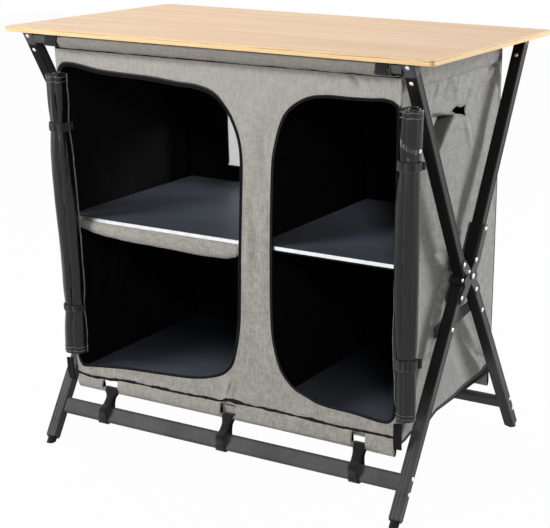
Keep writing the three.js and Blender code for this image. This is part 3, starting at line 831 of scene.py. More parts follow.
# The cloth walls close onto the middle plane and keep this much of their depth
WALL_FOLD = (0.0, 0.0, 0.14)


def on_wall(made, slot, *stands_for):
    """A piece on the cloth walls, handed to the cabinet's body in place of those nodes."""
    return hand_over(made, "cabinet", stands_for, WALL_FOLD)


def front_fold(y):
    """How a small piece at y follows the cloth walls as they close, with its own depth mostly kept."""
    return (y, y * WALL_FOLD[2], 0.8)


def ribbon(count, across, closed=True):
    """Rows of points for a ribbon: the mesh, the layer of their numbers along it, and the row of each."""
    bm = bmesh.new()
    number = bm.verts.layers.int.new("number")
    first = []
    for index in range(count):
        vert = bm.verts.new((0, 0, 0))
        vert[number] = index
        first.append(vert)
    pairs = list(zip(first, first[1:])) + ([(first[-1], first[0])] if closed else [])
    edges = [bm.edges.new(pair) for pair in pairs]
    rows = {vert: 0 for vert in first}
    for row in range(1, across):
        grown = bmesh.ops.extrude_edge_only(bm, edges=edges)["geom"]
        edges = [item for item in grown if isinstance(item, bmesh.types.BMEdge)
                 and all(vert not in rows for vert in item.verts)]
        for item in grown:
            if isinstance(item, bmesh.types.BMVert):
                rows[item] = row
    return bm, number, rows


def map_ribbon(bm, number, rows, widths, runs, closed=True):
    """Maps a ribbon across and along; where a closed one joins, its first points count as its end."""
    layer = bm.loops.layers.uv.new("cloth")
    for face in bm.faces:
        numbers = {loop.vert[number] for loop in face.loops}
        wraps = closed and 0 in numbers and len(runs) - 2 in numbers
        for loop in face.loops:
            index = loop.vert[number]
            loop[layer].uv = (widths[rows[loop.vert]], runs[-1] if wraps and index == 0 else runs[index])


def strip(line, offsets, heights, closed=True):
    """A flat tape beside a flat line: its edges lie this far outside the line, this high, in millimetres."""
    count = len(line)
    offsets = [offset * MM for offset in offsets]
    bm, number, rows = ribbon(count, len(offsets), closed)
    normals = []
    for index, point in enumerate(line):
        before = line[index - 1] if closed or index else point
        after = line[(index + 1) % count] if closed or index < count - 1 else point
        along = (after - before).normalized()
        normals.append(Vector((along.y, -along.x)))
    for vert, row in rows.items():
        index = vert[number]
        vert.co = (*(line[index] + normals[index] * offsets[row]), heights[row] * MM)
    map_ribbon(bm, number, rows, offsets, lengths(line + line[:1]), closed)
    bmesh.ops.recalc_face_normals(bm, faces=bm.faces)
    if sum(face.normal.z for face in bm.faces) < 0:
        bmesh.ops.reverse_faces(bm, faces=bm.faces)
    return bm


def millimetres(points):
    """Flat points given in millimetres, in metres."""
    return [Vector((x * MM, y * MM)) for x, y in points]


def level(points, at):
    """The height of an open line of (place, height) points at a place."""
    if at <= points[0][0]:
        return points[0][1]
    for (a, low), (b, high) in zip(points, points[1:]):
        if at <= b:
            return low + (high - low) * eased((at - a) / (b - a))
    return points[-1][1]


# The front's lower seam, across and up in millimetres
BOTTOM_SEAM = [(-354, 133), (-330, 130), (-300, 130), (-227, 135.5), (-132, 135), (-15, 136.5), (3, 144),
               (25, 141), (72, 140), (157, 139.5), (241, 137), (282, 138), (354, 138)]
# Folds: both ends (across, up), the half width and the height, in millimetres
FRONT_FOLDS = [
    (59, 492, 57, 412, 8, 3.4), (59.5, 470, 57.6, 430, 2.4, -4.6), (62, 540, 68, 486, 6, -2.6),
    (12, 190, 2, 146, 8, 3.4), (13, 184, 3, 150, 2.8, -6.0), (-344, 152, -306, 134, 8, 4.0),
    (-344, 150, -316, 136, 2.8, -6.0), (262, 758, 283, 741, 3.4, -4.5), (90, 640, 96, 560, 7, -2.6),
    (74, 470, 70, 410, 5, -2.2), (-300, 152, -262, 141, 5, -3.2), (-200, 141, -150, 146, 4, -2.6),
    (-60, 146, -20, 142, 4, -2.6), (70, 146, 110, 150, 4, -2.6), (180, 146, 215, 150, 4, -2.2),
    (58.7, 472, 57.2, 422, 4.5, 2.6), (64, 505, 66, 430, 9, -1.2), (48, 440, 50, 380, 9, 1.0),
    (11.4, 188, 0.5, 144, 7, 3.4), (24, 196, 12, 150, 10, -1.4), (-343, 158, -309, 132, 6, 3.4),
    (-330, 162, -296, 138, 8, -1.6), (248, 762, 268, 741, 5, 2.4), (273, 760, 300, 737, 5.5, 2.8),
    (260, 760, 284, 738, 6, -1.4), (300, 762, 318, 742, 6, 1.8), (221, 762, 226, 744, 6, 1.4),
    (-250, 150, -190, 161, 12, 1.6), (-120, 150, -60, 165, 14, 1.4), (140, 150, 210, 163, 14, 1.6),
    (-352, 139, -150, 142, 5, 2.6), (-150, 142, 0, 145, 5, 2.4), (0, 150, 120, 147, 5, 2.8),
    (120, 147, 352, 145, 5, 2.4), (90, 560, 84, 300, 12, 1.8), (72, 700, 64, 560, 16, 1.8),
    (60, 330, 66, 190, 14, -1.8), (70, 176, 120, 152, 10, 1.4), (-345, 757, -300, 746, 9, 1.8),
    (-120, 752, -20, 745, 14, 1.4), (120, 735, 60, 640, 18, 2.0), (330, 760, 338, 735, 6, 1.6),
    (236, 150, 300, 160, 10, 1.2),
]
SIDE_FOLDS = [
    (165, 743, 191, 698, 4, -6.0), (191, 698, 198, 650, 4, -2.5), (176, 748, 199, 762, 4, -3.5),
    (180, 735, 201, 690, 6, 2.5), (165, 743, 130, 727, 5, -3.4), (163, 738, 118, 712, 7, 4.4),
    (150, 728, 108, 696, 8, -2.4), (-62, 740, -80, 712, 5, 2.2), (-26, 740, -50, 706, 7, -2.0),
    (20, 742, 6, 716, 6, 1.8), (-60, 452, -10, 440, 6, 1.4), (-66, 440, -20, 430, 8, -2.2),
    (-8, 396, -38, 350, 8, 5.5), (-38, 350, -54, 312, 8, 5.5), (-54, 312, -60, 280, 9, 4.5),
    (-60, 280, -80, 240, 11, 3.5), (-20, 392, -58, 340, 12, -4.0), (-62, 330, -76, 270, 13, -3.4),
    (58, 262, 122, 199, 9, -3.6), (122, 199, 184, 151, 8, -4.6), (70, 268, 130, 212, 10, 2.2),
    (-134, 640, -98, 540, 16, 1.8), (-98, 545, -50, 470, 15, 1.8), (-150, 560, -120, 420, 18, -1.2),
    (-140, 380, -136, 220, 16, 2.4), (120, 640, 150, 420, 26, 1.4), (60, 600, 40, 470, 24, -1.0),
    (30, 560, 8, 440, 16, 1.0), (184, 640, 190, 380, 14, -1.2), (110, 330, 168, 230, 16, 1.4),
    (0, 230, 60, 170, 20, 2.4), (-100, 180, 10, 160, 22, -2.0), (-176, 700, -170, 560, 14, 2.2),
    (46, 688, 80, 716, 6, 2.4), (42, 662, 70, 610, 8, 2.6), (14, 700, -10, 735, 9, 2.2),
]
# The slot in the right wall and the lower hem of the side walls, along y and up in millimetres
SLOT_HOLE = [(-19, 681.5), (-8, 687), (6, 691), (9, 690.6), (25, 686.5), (43.5, 688.5), (46, 687.5),
             (42.5, 677), (46, 666), (44, 664), (26, 669.5), (4, 673.5), (-10, 679)]
SIDE_HEM = [(-202, 121), (-173, 123), (-150, 128), (-90, 124), (-35, 135), (26, 137), (84, 143), (140, 143),
            (173, 150), (202, 153)]


def slot_pocket(y, z):
    """The side wall falls back beside and below the slot, under the cloth that is pulled over it."""
    lean = (-3 + (z - 673) * (1.02 if z < 673 else -1.6)) - y
    top = 690 - (y + 84) * 0.2 - z
    bottom = z - 608
    left = y + 100
    share = 1.0
    for gap, soft in ((lean, 3.5), (top + 1, 4), (bottom, 16), (left, 42)):
        share *= eased(gap / soft)
    return -(13.0 + 22.0 * math.exp(-max(0.0, lean) / 22)) * share


def front_lift(x, z):
    """How far the front wall stands out, in millimetres."""
    return fold_height(x, z, FRONT_FOLDS)


def side_lift(y, z):
    """How far the right wall stands out, in millimetres: its folds, the slot's pocket and the band on top."""
    band = 3.2 * clamp((z - 741 - 0.02 * (y - 60)) / 4)
    puff = 2.6 * math.exp(-((z - 752) / 9) ** 2) * (0.7 + 0.5 * math.sin(y / 34))
    seam = 2.6 * math.exp(-((z - 739) / 3) ** 2)
    held = clamp((202 - abs(y)) / 9)
    return (fold_height(y, z, SIDE_FOLDS) * 1.6 + slot_pocket(y, z) + band + puff - seam) * held


def fall_limit(z, gap, base_top, base_slope, shelf_slope):
    """How far in a wall may fall at a height, in millimetres, before it meets a board, a lining or a shelf."""
    if z < 200:
        return -gap - base_slope * max(0.0, z - base_top)
    return -gap - shelf_slope * max(0.0, abs(z - 448) - 8)


def side_limit(_, z):
    """The limit of the side walls."""
    return fall_limit(z, 0.3, 176, 0.5, 1.1)


def board_limit(_, z):
    """The limit of the front and back walls."""
    return fall_limit(z, 0.5, 150, 0.8, 0.8)


def sag(bm, lift, low, high, slack, seed, scale=1.0, edge=0.03, grain=0.3, limit=None):
    """Raises flat points by the folds in millimetres, by slow slack and by small wrinkles, down to the limit."""
    for vert in bm.verts:
        x, y = vert.co.x / MM, vert.co.y / MM
        margin = min(vert.co.x - low[0], high[0] - vert.co.x, vert.co.y - low[1], high[1] - vert.co.y)
        held = eased(margin / edge)
        slow = wobble(x / 115 + seed, y / 150, seed)
        quick = wobble(x / 30 + seed, y / 42, 7 + seed)
        fine = wobble(x / 11 + seed, y / 13, 3 + seed)
        rise = lift(x, y) + slack * slow * held + grain * (quick + 0.4 * fine) * (0.35 + 0.65 * held)
        if limit:
            rise = max(rise, limit(x, y))
        vert.co.z += rise * MM * scale


def area_of(bm):
    return sum(face.calc_area() for face in bm.faces)


def wobble(x, y, z):
    """Seeded noise between -1 and 1 at a place."""
    return noise.noise(Vector((x, y, z)))


def hem_warp(bm, curve, base, reach):
    """Draws the lower edge of a flat wall onto a line of (place, height) points in millimetres."""
    for vert in bm.verts:
        share = clamp((vert.co.y - base) / reach)
        shift = level(curve, vert.co.x / MM) * MM - base
        vert.co.y += shift * (1 - share) ** 2


class FrameMetal(bpy.types.Operator):
    """Finishes the tubes, rails, caps, hub plates, stops and glides."""

    bl_idname = "cupboard.frame_metal"
    bl_label = "Frame metal"

    def execute(self, context):
        own = context.scene.cupboard_frame
        # How far the upper and the lower legs lean, and the height below which the painted shade on the lower
        # ones' front and rear faces fades out
        upper, lower, shade_end = math.radians(28.7), math.radians(32.7), 0.2
        # The upper tubes are painted at 0.55 of the tube's colour: painted shade under the worktop
        deep = tint(own.tube, 0.55)
        tubes = {"upper_leg_front": tube_finish("Black upper tube leaning back", deep, upper),
                 "upper_leg_rear": tube_finish("Black upper tube leaning forward", deep, -upper),
                 "lower_leg_front": tube_finish("Black lower tube leaning forward", own.tube, -lower, shade_end),
                 "lower_leg_rear": tube_finish("Black lower tube leaning back", own.tube, lower, shade_end)}
        rail = tube_finish("Black rail", own.tube, None)
        plastic = plain_finish("Moulded black plastic", own.plastic, 0.5)
        cap = plain_finish("Charcoal cap plastic", tint(own.plastic, 5.4), 0.5)
        rubber = plain_finish("Black rubber", tint(own.plastic, 0.9), 0.8, scale=900.0, bump=0.0002)
        steel = plain_finish("Painted hub steel", tint(own.tube, 0.75), 0.42, metallic=0.2)
        bolt = plain_finish("Dark bolt", tint(own.tube, 1.6), 0.35, metallic=0.6)
        for side, _ in SIDES:
            for name, finish in tubes.items():
                paint(finish, f"{name}_{side}")
            for end in ("front", "rear"):
                paint(cap, f"corner_cap_{end}_{side}")
                paint(plastic, f"hub_stop_{end}_{side}")
                paint(rubber, f"glide_{end}_{side}")
                paint(steel, f"hub_plate_inner_{end}_{side}", f"hub_plate_outer_{end}_{side}")
            paint(bolt, f"pivot_bolt_{side}")
        for end in ("front", "rear"):
            paint(rail, f"top_rail_{end}", f"bottom_rail_{end}")
        return {"FINISHED"}


class WorktopAndBoards(bpy.types.Operator):
    """Finishes the wooden top, the slate boards and their silver edges."""

    bl_idname = "cupboard.worktop_and_boards"
    bl_label = "Worktop and boards"

    def execute(self, context):
        own = context.scene.cupboard_frame
        paint(wood_finish("Bamboo plywood", own), "worktop")
        # The shelf boards are painted lighter towards the back: painted light
        slate = board_finish("Slate board", own.board)
        # The base boards are painted 1.5 times lighter in front, as painted light, and darker towards the back, as
        # painted shade
        base = board_finish("Slate base board", tint(own.board, 1.5), 0.12)
        silver = metal_finish("Silver edge", (0.82, 0.83, 0.84), 0.3, (30.0, 900.0, 900.0))
        for side, _ in SIDES:
            paint(slate, f"shelf_board_{side}")
            paint(base, f"base_board_{side}")
            paint(silver, f"shelf_trim_{side}")
        return {"FINISHED"}


class FrontWall(bpy.types.Operator):
    """Builds the grey front with its two doorways and their zips."""

    bl_idname = "cupboard.front_wall"
    bl_label = "Front wall"

    def execute(self, context):
        own = context.scene.cupboard_cloth
        low = (FRONT_LOW.x, FRONT_LOW.z)
        high = (FRONT_HIGH.x, FRONT_HIGH.z)

        def hang(bm):
            """Folds a flat piece as the front folds there, and stands it up."""
            sag(bm, front_lift, low, high, 2.4, 0.3, own.fold_depth, 0.02, limit=board_limit)
            return stand(bm, Vector((0, FRONT_MID.y, 0)), RIGHT, UP, FORWARD)

        outlines = [rounded(millimetres(points), 5) for points in (LEFT_DOORWAY, RIGHT_DOORWAY)]
        bm = flat_grid(low, high, own.cell)
        for outline in outlines:
            cut_opening(bm, outline, own.cell)
        hem_warp(bm, BOTTOM_SEAM, low[1], 0.05)
        area = area_of(bm)
        add_map(bm)
        wall = sewn(hang(bm), "front_wall", own.thickness, grey_side_of(context.scene), lining_of(context.scene))
        tape, coil = shared("Zip tape", zip_tape, own), shared("Zip coil", zip_coil)
        for name, outline in zip(("left", "right"), outlines):
            anticlockwise = sum(a.x * b.y - b.x * a.y for a, b in zip(outline, outline[1:])) > 0
            turned = outline if anticlockwise else outline[::-1]
            for label, finish, offsets, heights, thick, kept in (
                    ("zip_tape", tape, (-2.6, -1.4, 0.8, 3.6, 6.2), (-0.4, 0.9, 1.6, 1.5, 1.0), 0.7, 0.52),
                    ("zip_coil", coil, (-2.4, -1.8, -1.0, -0.4), (1.3, 2.3, 2.5, 1.9), 0.8, 0.8)):
                bm = strip(turned, offsets, heights)
                number = bm.verts.layers.int["number"]
                for vert in bm.verts:
                    spot = turned[vert[number]]
                    # Only the head of the left doorway shows the zip at its full width
                    upper = clamp((spot.y - 0.69) / 0.02) if name == "left" else 0.0
                    vert.co.xy = spot + (vert.co.xy - spot) * (kept + (1 - kept) * upper)
                made = sewn(hang(bm), f"{label}_{name}", thick * MM, finish, angle=50)
                on_wall(made, "black_cloth")
        # The dark strips along the lower seam and under the top sleeves are a painted shadow where the cloth
        # overlaps
        dark = shared("Dark seam", thread_finish, (0.012, 0.012, 0.012))
        for label, curve, wide, raised in (
                ("bottom", BOTTOM_SEAM, 3.5, 0.8), ("top", [(-354, 762.5), (354, 763)], 1.5, 0.0)):
            line = [Vector((x * MM, (level(curve, x) + raised) * MM)) for x in range(-353, 354, 3)]
            bm = strip(line, (-wide, -wide * 0.5, wide * 0.5, wide), (0.3, 1.5, 1.5, 0.3), False)
            if label == "bottom":
                for vert in bm.verts:
                    x, middle = vert.co.x, (level(curve, vert.co.x / MM) + raised) * MM
                    pull = 0.9 + 0.9 * wobble(x * 24, 1, 4) + 0.5 * wobble(x * 90, 2, 8)
                    shift = 0.0012 * wobble(x * 60, 5, 1)
                    vert.co.y = middle + (vert.co.y - middle) * max(0.4, pull) + shift
            on_wall(sewn(hang(bm), f"seam_shadow_{label}", 0.5 * MM, dark, angle=50), "black_cloth")
        on_wall(wall, "grey_cloth", "front_panel")
        return {"FINISHED"}


# Where the side walls' inner linings end
SKIRT_TOP = 0.172


class SideWalls(bpy.types.Operator):
    """Builds the two side walls, the right one with its slot, their black bound hems and inner linings."""

    bl_idname = "cupboard.side_walls"
    bl_label = "Side walls"

    def execute(self, context):
        own = context.scene.cupboard_cloth
        lining, grey = lining_of(context.scene), grey_cool_of(context.scene)
        low = (SIDE_LOW.y, SIDE_LOW.z)
        high = (SIDE_HIGH.y, UNDERSIDE - 0.003)
        cell = own.cell * 0.8
        hole = rounded(millimetres(SLOT_HOLE), 5)
        binding = shared("Black binding", webbing_cloth, own)
        for side, sign in SIDES:
            across, out = Vector((0, sign, 0)), RIGHT * sign
            lift = side_lift if sign > 0 else (lambda y, z: side_lift(-y, z) - 0.9 * slot_pocket(-y, z))
            curve = SIDE_HEM if sign > 0 else [(-y, z - 0.4 * (z - 121)) for y, z in reversed(SIDE_HEM)]

            def hang(bm):
                """Folds a flat piece as this side folds there, and stands it up."""
                sag(bm, lift, low, high, 4.0, 2.0 + sign, own.fold_depth, 0.05, limit=side_limit)
                return stand(bm, Vector((sign * SIDE_MID.x, 0, 0)), across, UP, out)

            bm = flat_grid(low, high, cell)
            if sign > 0:
                cut_opening(bm, hole, cell)
            hem_warp(bm, curve, low[1], 0.06)
            area = area_of(bm)
            add_map(bm)
            wall = sewn(hang(bm), f"side_wall_{side}", own.thickness, grey, lining)
            line = [Vector((y * MM, level(curve, y) * MM)) for y in range(-199, 200, 6)]
            bm = strip(line, (1.5, 0.0, -2.5, -5.0), (0.2, 1.9, 2.1, 1.2), False)
            edge = on_wall(sewn(hang(bm), f"side_binding_{side}", 1.0 * MM, binding, angle=50), "black_cloth")
            bm = flat_grid((low[0], FLOOR_LOW.z + 0.0004), (high[0], SKIRT_TOP), own.cell * 2)
            add_map(bm)
            stand(bm, Vector((sign * (SIDE_LOW.x - 0.0006), 0, 0)), across, UP, out)
            skirt = on_wall(sewn(bm, f"side_lining_{side}", 0.8 * MM, lining), "black_cloth")
            if sign > 0:
                bm = strip(hole, (0.0, 0.8, 2.2), (-0.4, 0.9, 0.8))
                on_wall(sewn(hang(bm), "slot_rim", 0.6 * MM, grey, angle=50), "grey_cloth")
            on_wall(wall, "grey_cloth", f"side_panel_{side}")
        return {"FINISHED"}


# The net window, seen from the front: left, bottom, right, top
NET_WINDOW = (-0.257, 0.483, -0.027, 0.599)


class BackWall(bpy.types.Operator):
    """Builds the back wall with its net window."""

    bl_idname = "cupboard.back_wall"
    bl_label = "Back wall"

    def execute(self, context):
        own = context.scene.cupboard_cloth
        low = (BACK_LOW.x, FRONT_LOW.z)
        high = (BACK_HIGH.x, BACK_HIGH.z)
        cell = own.cell * 1.4
        left, bottom, right, top = NET_WINDOW
        corner = 0.008
        outline = rounded([Vector(p) for p in (
            (-right + corner, bottom), (-left - corner, bottom), (-left, bottom + corner), (-left, top - corner),
            (-left - corner, top), (-right + corner, top), (-right, top - corner), (-right, bottom + corner))], 4)

        def lift(x, z):
            return 2.0 * math.sin(x / 70) * math.exp(-((z - 330) / 220) ** 2)

        def hang(bm):
            """Folds a flat piece as the back folds there, and stands it up."""
            sag(bm, lift, low, high, 3.0, 5.0, own.fold_depth, 0.04, limit=board_limit)
            return stand(bm, Vector((0, BACK_MID.y, 0)), -RIGHT, UP, -FORWARD)

        bm = flat_grid(low, high, cell)
        cut_opening(bm, outline, cell)
        area = area_of(bm)
        add_map(bm)
        wall = sewn(hang(bm), "back_wall", own.thickness, grey_cool_of(context.scene), lining_of(context.scene))
        bm = strip(outline, (-1.5, 0.0, 5.0, 9.0), (0.2, 1.0, 1.4, 0.9))
        binding = shared("Black binding", webbing_cloth, own)
        border = on_wall(sewn(hang(bm), "net_border", 0.8 * MM, binding, angle=50), "black_cloth")
        bm = flat_grid((-right - 0.004, bottom - 0.004), (-left + 0.004, top + 0.004), own.cell * 2)
        add_map(bm)
        pale = shared("Pale net", net_finish, (0.97, 0.98, 1.0), 1.7 * MM)
        net = on_wall(smooth(piece_from(hang(bm), "net_window", pale)), "grey_cloth")
        on_wall(wall, "grey_cloth", "back_panel")
        return {"FINISHED"}


class InnerCloths(bpy.types.Operator):
    """Builds the black floor, divider and shelf cloths, and the grey front edge of the left shelf."""

    bl_idname = "cupboard.inner_cloths"
    bl_label = "Inner cloths"

    def execute(self, context):
        own = context.scene.cupboard_cloth
        lining = lining_of(context.scene)
        cell = own.cell * 2.4

        def sheet_piece(name, low, high, origin, across, up, out, node, seed, slack):
            """A plain cloth between two flat corners, in place of that node."""
            bm = flat_grid(low, high, cell)
            area = area_of(bm)
            add_map(bm)
            sag(bm, lambda a, b: 0.0, low, high, slack, seed, 1.0, 0.05)
            stand(bm, origin, across, up, out)
            made = on_wall(sewn(bm, name, own.thickness, lining), "black_cloth", node)

        y_low, y_high = DIVIDER_LOW.y, DIVIDER_HIGH.y
        sheet_piece("floor_cloth", (FLOOR_LOW.x, y_low), (FLOOR_HIGH.x, y_high),
                    Vector((0, 0, FLOOR_LOW.z + 0.0008)), RIGHT, -FORWARD, UP, "floor_panel", 9.0, 0.3)
        sheet_piece("divider_wall", (y_low + 4 * MM, DIVIDER_LOW.z), (y_high, DIVIDER_HIGH.z),
                    Vector((DIVIDER_MID.x, 0, 0)), -FORWARD, UP, RIGHT, "divider_panel", 11.0, 2.0)
        for side, _ in SIDES:
            low, high, _ = place(f"shelf_cloth_{side}")
            sheet_piece(f"shelf_cloth_under_{side}", (low.x, low.y), (high.x, high.y),
                        Vector((0, 0, high.z - 0.0009)), RIGHT, -FORWARD, UP, f"shelf_cloth_{side}", 13.0, 0.3)
        # The lower edge of the left shelf's hanging front, across and up in millimetres
        lower = [(-353, 437), (-340, 438), (-325, 434), (-318, 430), (-291, 424), (-255, 420.5), (-220, 418),
                 (-163, 417), (-107, 416), (-51, 414), (5, 415.5), (24, 420), (35, 428), (69, 436)]
        low, high, _ = place("shelf_cloth_left")
        top = place("shelf_board_left")[0].z + 0.001
        bm = unit_grid(round((high.x - low.x) / (4 * MM)), 10)
        for vert in bm.verts:
            x = low.x + (vert.co.x + 0.5) * (high.x - low.x)
            share = vert.co.y + 0.5
            bottom = level(lower, x / MM) * MM
            fade = clamp((0.047 - x) / 0.012)
            billow = (0.007 * fade - 0.0035 * (1 - fade)) * math.sin(math.pi * share)
            billow *= min(1.0, (top - bottom) / 0.03)
            ripple = 0.0016 * wobble(x * 28, share, 4) * (1 - share)
            y = -0.2002 + 0.003 * (1 - fade) - billow - ripple * fade - 0.001 * (1 - share) * fade
            vert.co = Vector((x, y, bottom + (top - bottom) * share))
        add_map(bm)
        face_front(bm)
        area = area_of(bm)
        droop = sewn(bm, "shelf_front_cloth", own.thickness, grey_side_of(context.scene), lining)
        on_wall(droop, "grey_cloth")
        return {"FINISHED"}


class TopSleeves(bpy.types.Operator):
    """Builds the puffy sleeves round the top rails."""

    bl_idname = "cupboard.top_sleeves"
    bl_label = "Top sleeves"

    def execute(self, context):
        own = context.scene.cupboard_cloth
        # The sleeve's cross-section from the wall round the rail and back, y and z in millimetres
        profile = [(-200.9, 762), (-203.5, 764.5), (-211, 767.2), (-221, 768.6), (-231, 769.6), (-237.5, 772.5),
                   (-240.6, 778), (-240.9, 784), (-239, 788.4), (-233, 790.2), (-222, 790.4), (-212, 790.2),
                   (-207, 787), (-205.6, 779), (-204, 771), (-201.6, 764)]
        line = rounded(millimetres(profile), 3, False)
        runs = lengths(line)
        last, slack_share = len(line) - 1, 0.625
        # The sleeves' cloth is painted at 0.6 of its brightness: painted shade under the worktop
        finish = shared("Grey melange cloth of the sleeves", grey_cloth, own, 0.6)
        for end, sign in (("front", 1), ("rear", -1)):
            low, high = (-0.316, 0.352) if sign > 0 else (-0.35, 0.35)
            bm = unit_grid(round((high - low) / (4 * MM)), last)
            for vert in bm.verts:
                x = low + (vert.co.x + 0.5) * (high - low)
                row = round((vert.co.y + 0.5) * last)
                point, share = line[row], runs[row] / runs[-1]
                # The first part of the girth is slack, below and in front of the rail
                loose = math.sin(math.pi * share / slack_share) if share < slack_share else 0.0
                gather = wobble(x * 26, share * 3, 2) * 1.1 + wobble(x * 75, share * 4, 5) * 0.9
                pull = gather * loose * MM
                vert.co = Vector((x, sign * (point.x - pull * 0.6), point.y - pull * 0.9 - 0.002 * loose))
            add_map(bm)
            face_out(bm, sign)
            area = area_of(bm)
            made = sewn(bm, f"rail_sleeve_{end}", own.thickness, finish, lining_of(context.scene), offset=-1.0)
            hand_over(made, f"{end}_top_frame", (f"top_sleeve_{end}",))
        return {"FINISHED"}


class LowerHems(bpy.types.Operator):
    """Builds the hem rod and the hems of the front and back, cut out where the straps hold the rod."""

    bl_idname = "cupboard.lower_hems"
    bl_label = "Lower hems"

    def execute(self, context):
        own = context.scene.cupboard_cloth
        low, high, middle = place("hem_rod_front")
        radius = (high.z - low.z) / 2
        bm = bmesh.new()
        bmesh.ops.create_cone(bm, cap_ends=True, segments=24, radius1=radius, radius2=radius, depth=high.x - low.x)
        rims = [edge for edge in bm.edges if abs(edge.verts[0].co.z - edge.verts[1].co.z) < radius]
        bmesh.ops.bevel(bm, geom=rims, offset=0.3 * radius, segments=3, affect="EDGES", profile=0.5, material=-1)
        stand(bm, middle, UP, FORWARD, RIGHT)
        rod = smooth(piece_from(bm, "hem_rod", plain_finish("Plated rod", (0.27, 0.26, 0.245), 0.55)))
        hand_over(rod, "cabinet", ("hem_rod_front",), front_fold(middle.y))
        # Where each strap passes the hem: both edges, and the share of the girth up to which it is cut out
        cuts = ((-0.291, -0.2555, 0.91), (-0.0145, 0.0205, 0.66), (0.266, 0.2935, 0.8))
        low, high = -0.352, 0.352
        hem_y = 0.2012
        grey = grey_side_of(context.scene)
        for end, sign in (("front", 1), ("rear", -1)):
            bm = unit_grid(round((high - low) / (3.5 * MM)), 26)
            for vert in bm.verts:
                vert.co.x = low + (vert.co.x + 0.5) * (high - low)
                vert.co.y += 0.5
            if sign > 0:
                self.cut(bm, cuts)
            for vert in bm.verts:
                x, share = vert.co.x, vert.co.y
                seam = level(BOTTOM_SEAM, x / MM) * MM
                foot = (102.4 + 6.08 * (high - x) / (high - low)) * MM
                ripple = wobble(x * 22, share * 2, 9) * 0.9 * MM
                turn = share * 2 * math.pi
                height = 0.5 + 0.5 * math.cos(turn)
                bulge = (6.8 * MM + ripple) * (1 - 0.55 * height)
                y = -hem_y - math.sin(turn) * bulge
                vert.co = Vector((x, sign * y, foot + (seam - foot) * height))
            add_map(bm)
            face_out(bm, sign)
            area = area_of(bm)
            made = sewn(bm, f"hem_{end}", own.thickness, grey, lining_of(context.scene), grey, grey, offset=-1.0)
            hand_over(made, "cabinet", ("hem_sleeve_front",) if sign > 0 else (),
                      front_fold(-sign * hem_y))
            high - low
            min(area, (high - low) * 0.066)
        return {"FINISHED"}

    @staticmethod
    def cut(bm, cuts):
        """Cuts the flat hem out between the places, up to a share of its girth; the rest there is grey inside."""
        for edge_x in (x for start, stop, _ in cuts for x in (start, stop)):
            near = sorted({round(v.co.x, 6) for v in bm.verts}, key=lambda x: abs(x - edge_x))[0]
            for vert in bm.verts:
                if abs(vert.co.x - near) < 1e-5:
                    vert.co.x = edge_x
        doomed = []
        for face in bm.faces:
            middle = face.calc_center_median()
            for start, stop, reach in cuts:
                if start < middle.x < stop and middle.y > 0.09:
                    if middle.y < reach:
                        doomed.append(face)
                    else:
                        face.material_index = 2
        bmesh.ops.delete(bm, geom=doomed, context="FACES")


class HemStraps(bpy.types.Operator):
    """Builds the three webbing loops from the hem's rod to the front bottom rail."""

    bl_idname = "cupboard.hem_straps"
    bl_label = "Hem straps"

    def execute(self, context):
        rail_low, rail_high, _ = place("bottom_rail_front")
        rod = place("hem_rod_front")[2]
        finish = shared("Black strap weave", webbing_cloth, context.scene.cupboard_cloth, 0.4)
        front, back = rail_low.y - 0.0014, rail_high.y + 0.0014
        # Once round rod and rail: how far down the strap a point is, its y and its z
        path = [
            (0.0, rod.y, rod.z + 0.0062), (0.02, rod.y - 0.0055, rod.z + 0.004),
            (0.05, rod.y - 0.008, rod.z - 0.003), (0.18, rod.y - 0.0125, rod.z - 0.012),
            (0.36, rod.y - 0.021, rod.z - 0.022), (0.5, front - 0.0008, rail_high.z - 0.001),
            (0.75, front, (rail_low.z + rail_high.z) / 2), (0.96, front, rail_low.z + 0.002),
            (1.0, front + 0.004, rail_low.z - 0.0014), (1.0, (front + back) / 2, rail_low.z - 0.0016),
            (1.0, back - 0.004, rail_low.z - 0.0014), (0.95, back, rail_low.z + 0.003),
            (0.7, back, rail_high.z - 0.004), (0.4, back + 0.004, rail_high.z + 0.012),
            (0.1, rod.y + 0.0075, rod.z - 0.006), (0.02, rod.y + 0.006, rod.z + 0.003),
        ]
        line = rounded(path, 5)
        runs = lengths([Vector((0, spot.y, spot.z)) for spot in line + line[:1]])
        across = 6
        for node, top_x, drift, flared, waist, turned in (
                ("left", -269, -5, 11, 1.0, 1.0), ("middle", 2, 0, 3, 0.6, 1.0), ("right", 282, 4, 3, 0.6, 0.35)):
            bm, number, rows = ribbon(len(line), across + 1)
            for vert, row in rows.items():
                spot = line[vert[number]]
                share = spot.x
                side = row / across - 0.5
                flare = flared * math.exp(-(share / 0.07) ** 2)
                drawn_in = 4 * math.sin(math.pi * min(1.0, share * 1.25)) ** 2 * waist
                width = (20.5 + flare - drawn_in) * MM
                twist = 0.5 * math.sin(math.pi * min(1.0, share * 2.2)) * turned
                on_front = spot.y < (front + back) / 2 and share < 0.5
                lean = side * width * math.sin(twist) * (1.0 if on_front else 0.2)
                cup = 0.0012 * (1 - (2 * side) ** 2) * math.sin(math.pi * share)
                vert.co = Vector(((top_x + drift * share) * MM + side * width * math.cos(twist),
                                  spot.y - lean - cup, spot.z + abs(lean) * 0.15))
            map_ribbon(bm, number, rows, [row / across * 20.5 * MM for row in range(across + 1)], runs)
            bmesh.ops.recalc_face_normals(bm, faces=bm.faces)
            made = sewn(bm, f"strap_loop_{node}", 1.3 * MM, finish)
            hand_over(made, "rear_top_frame", (f"hem_strap_{node}",))
            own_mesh(made)
        return {"FINISHED"}


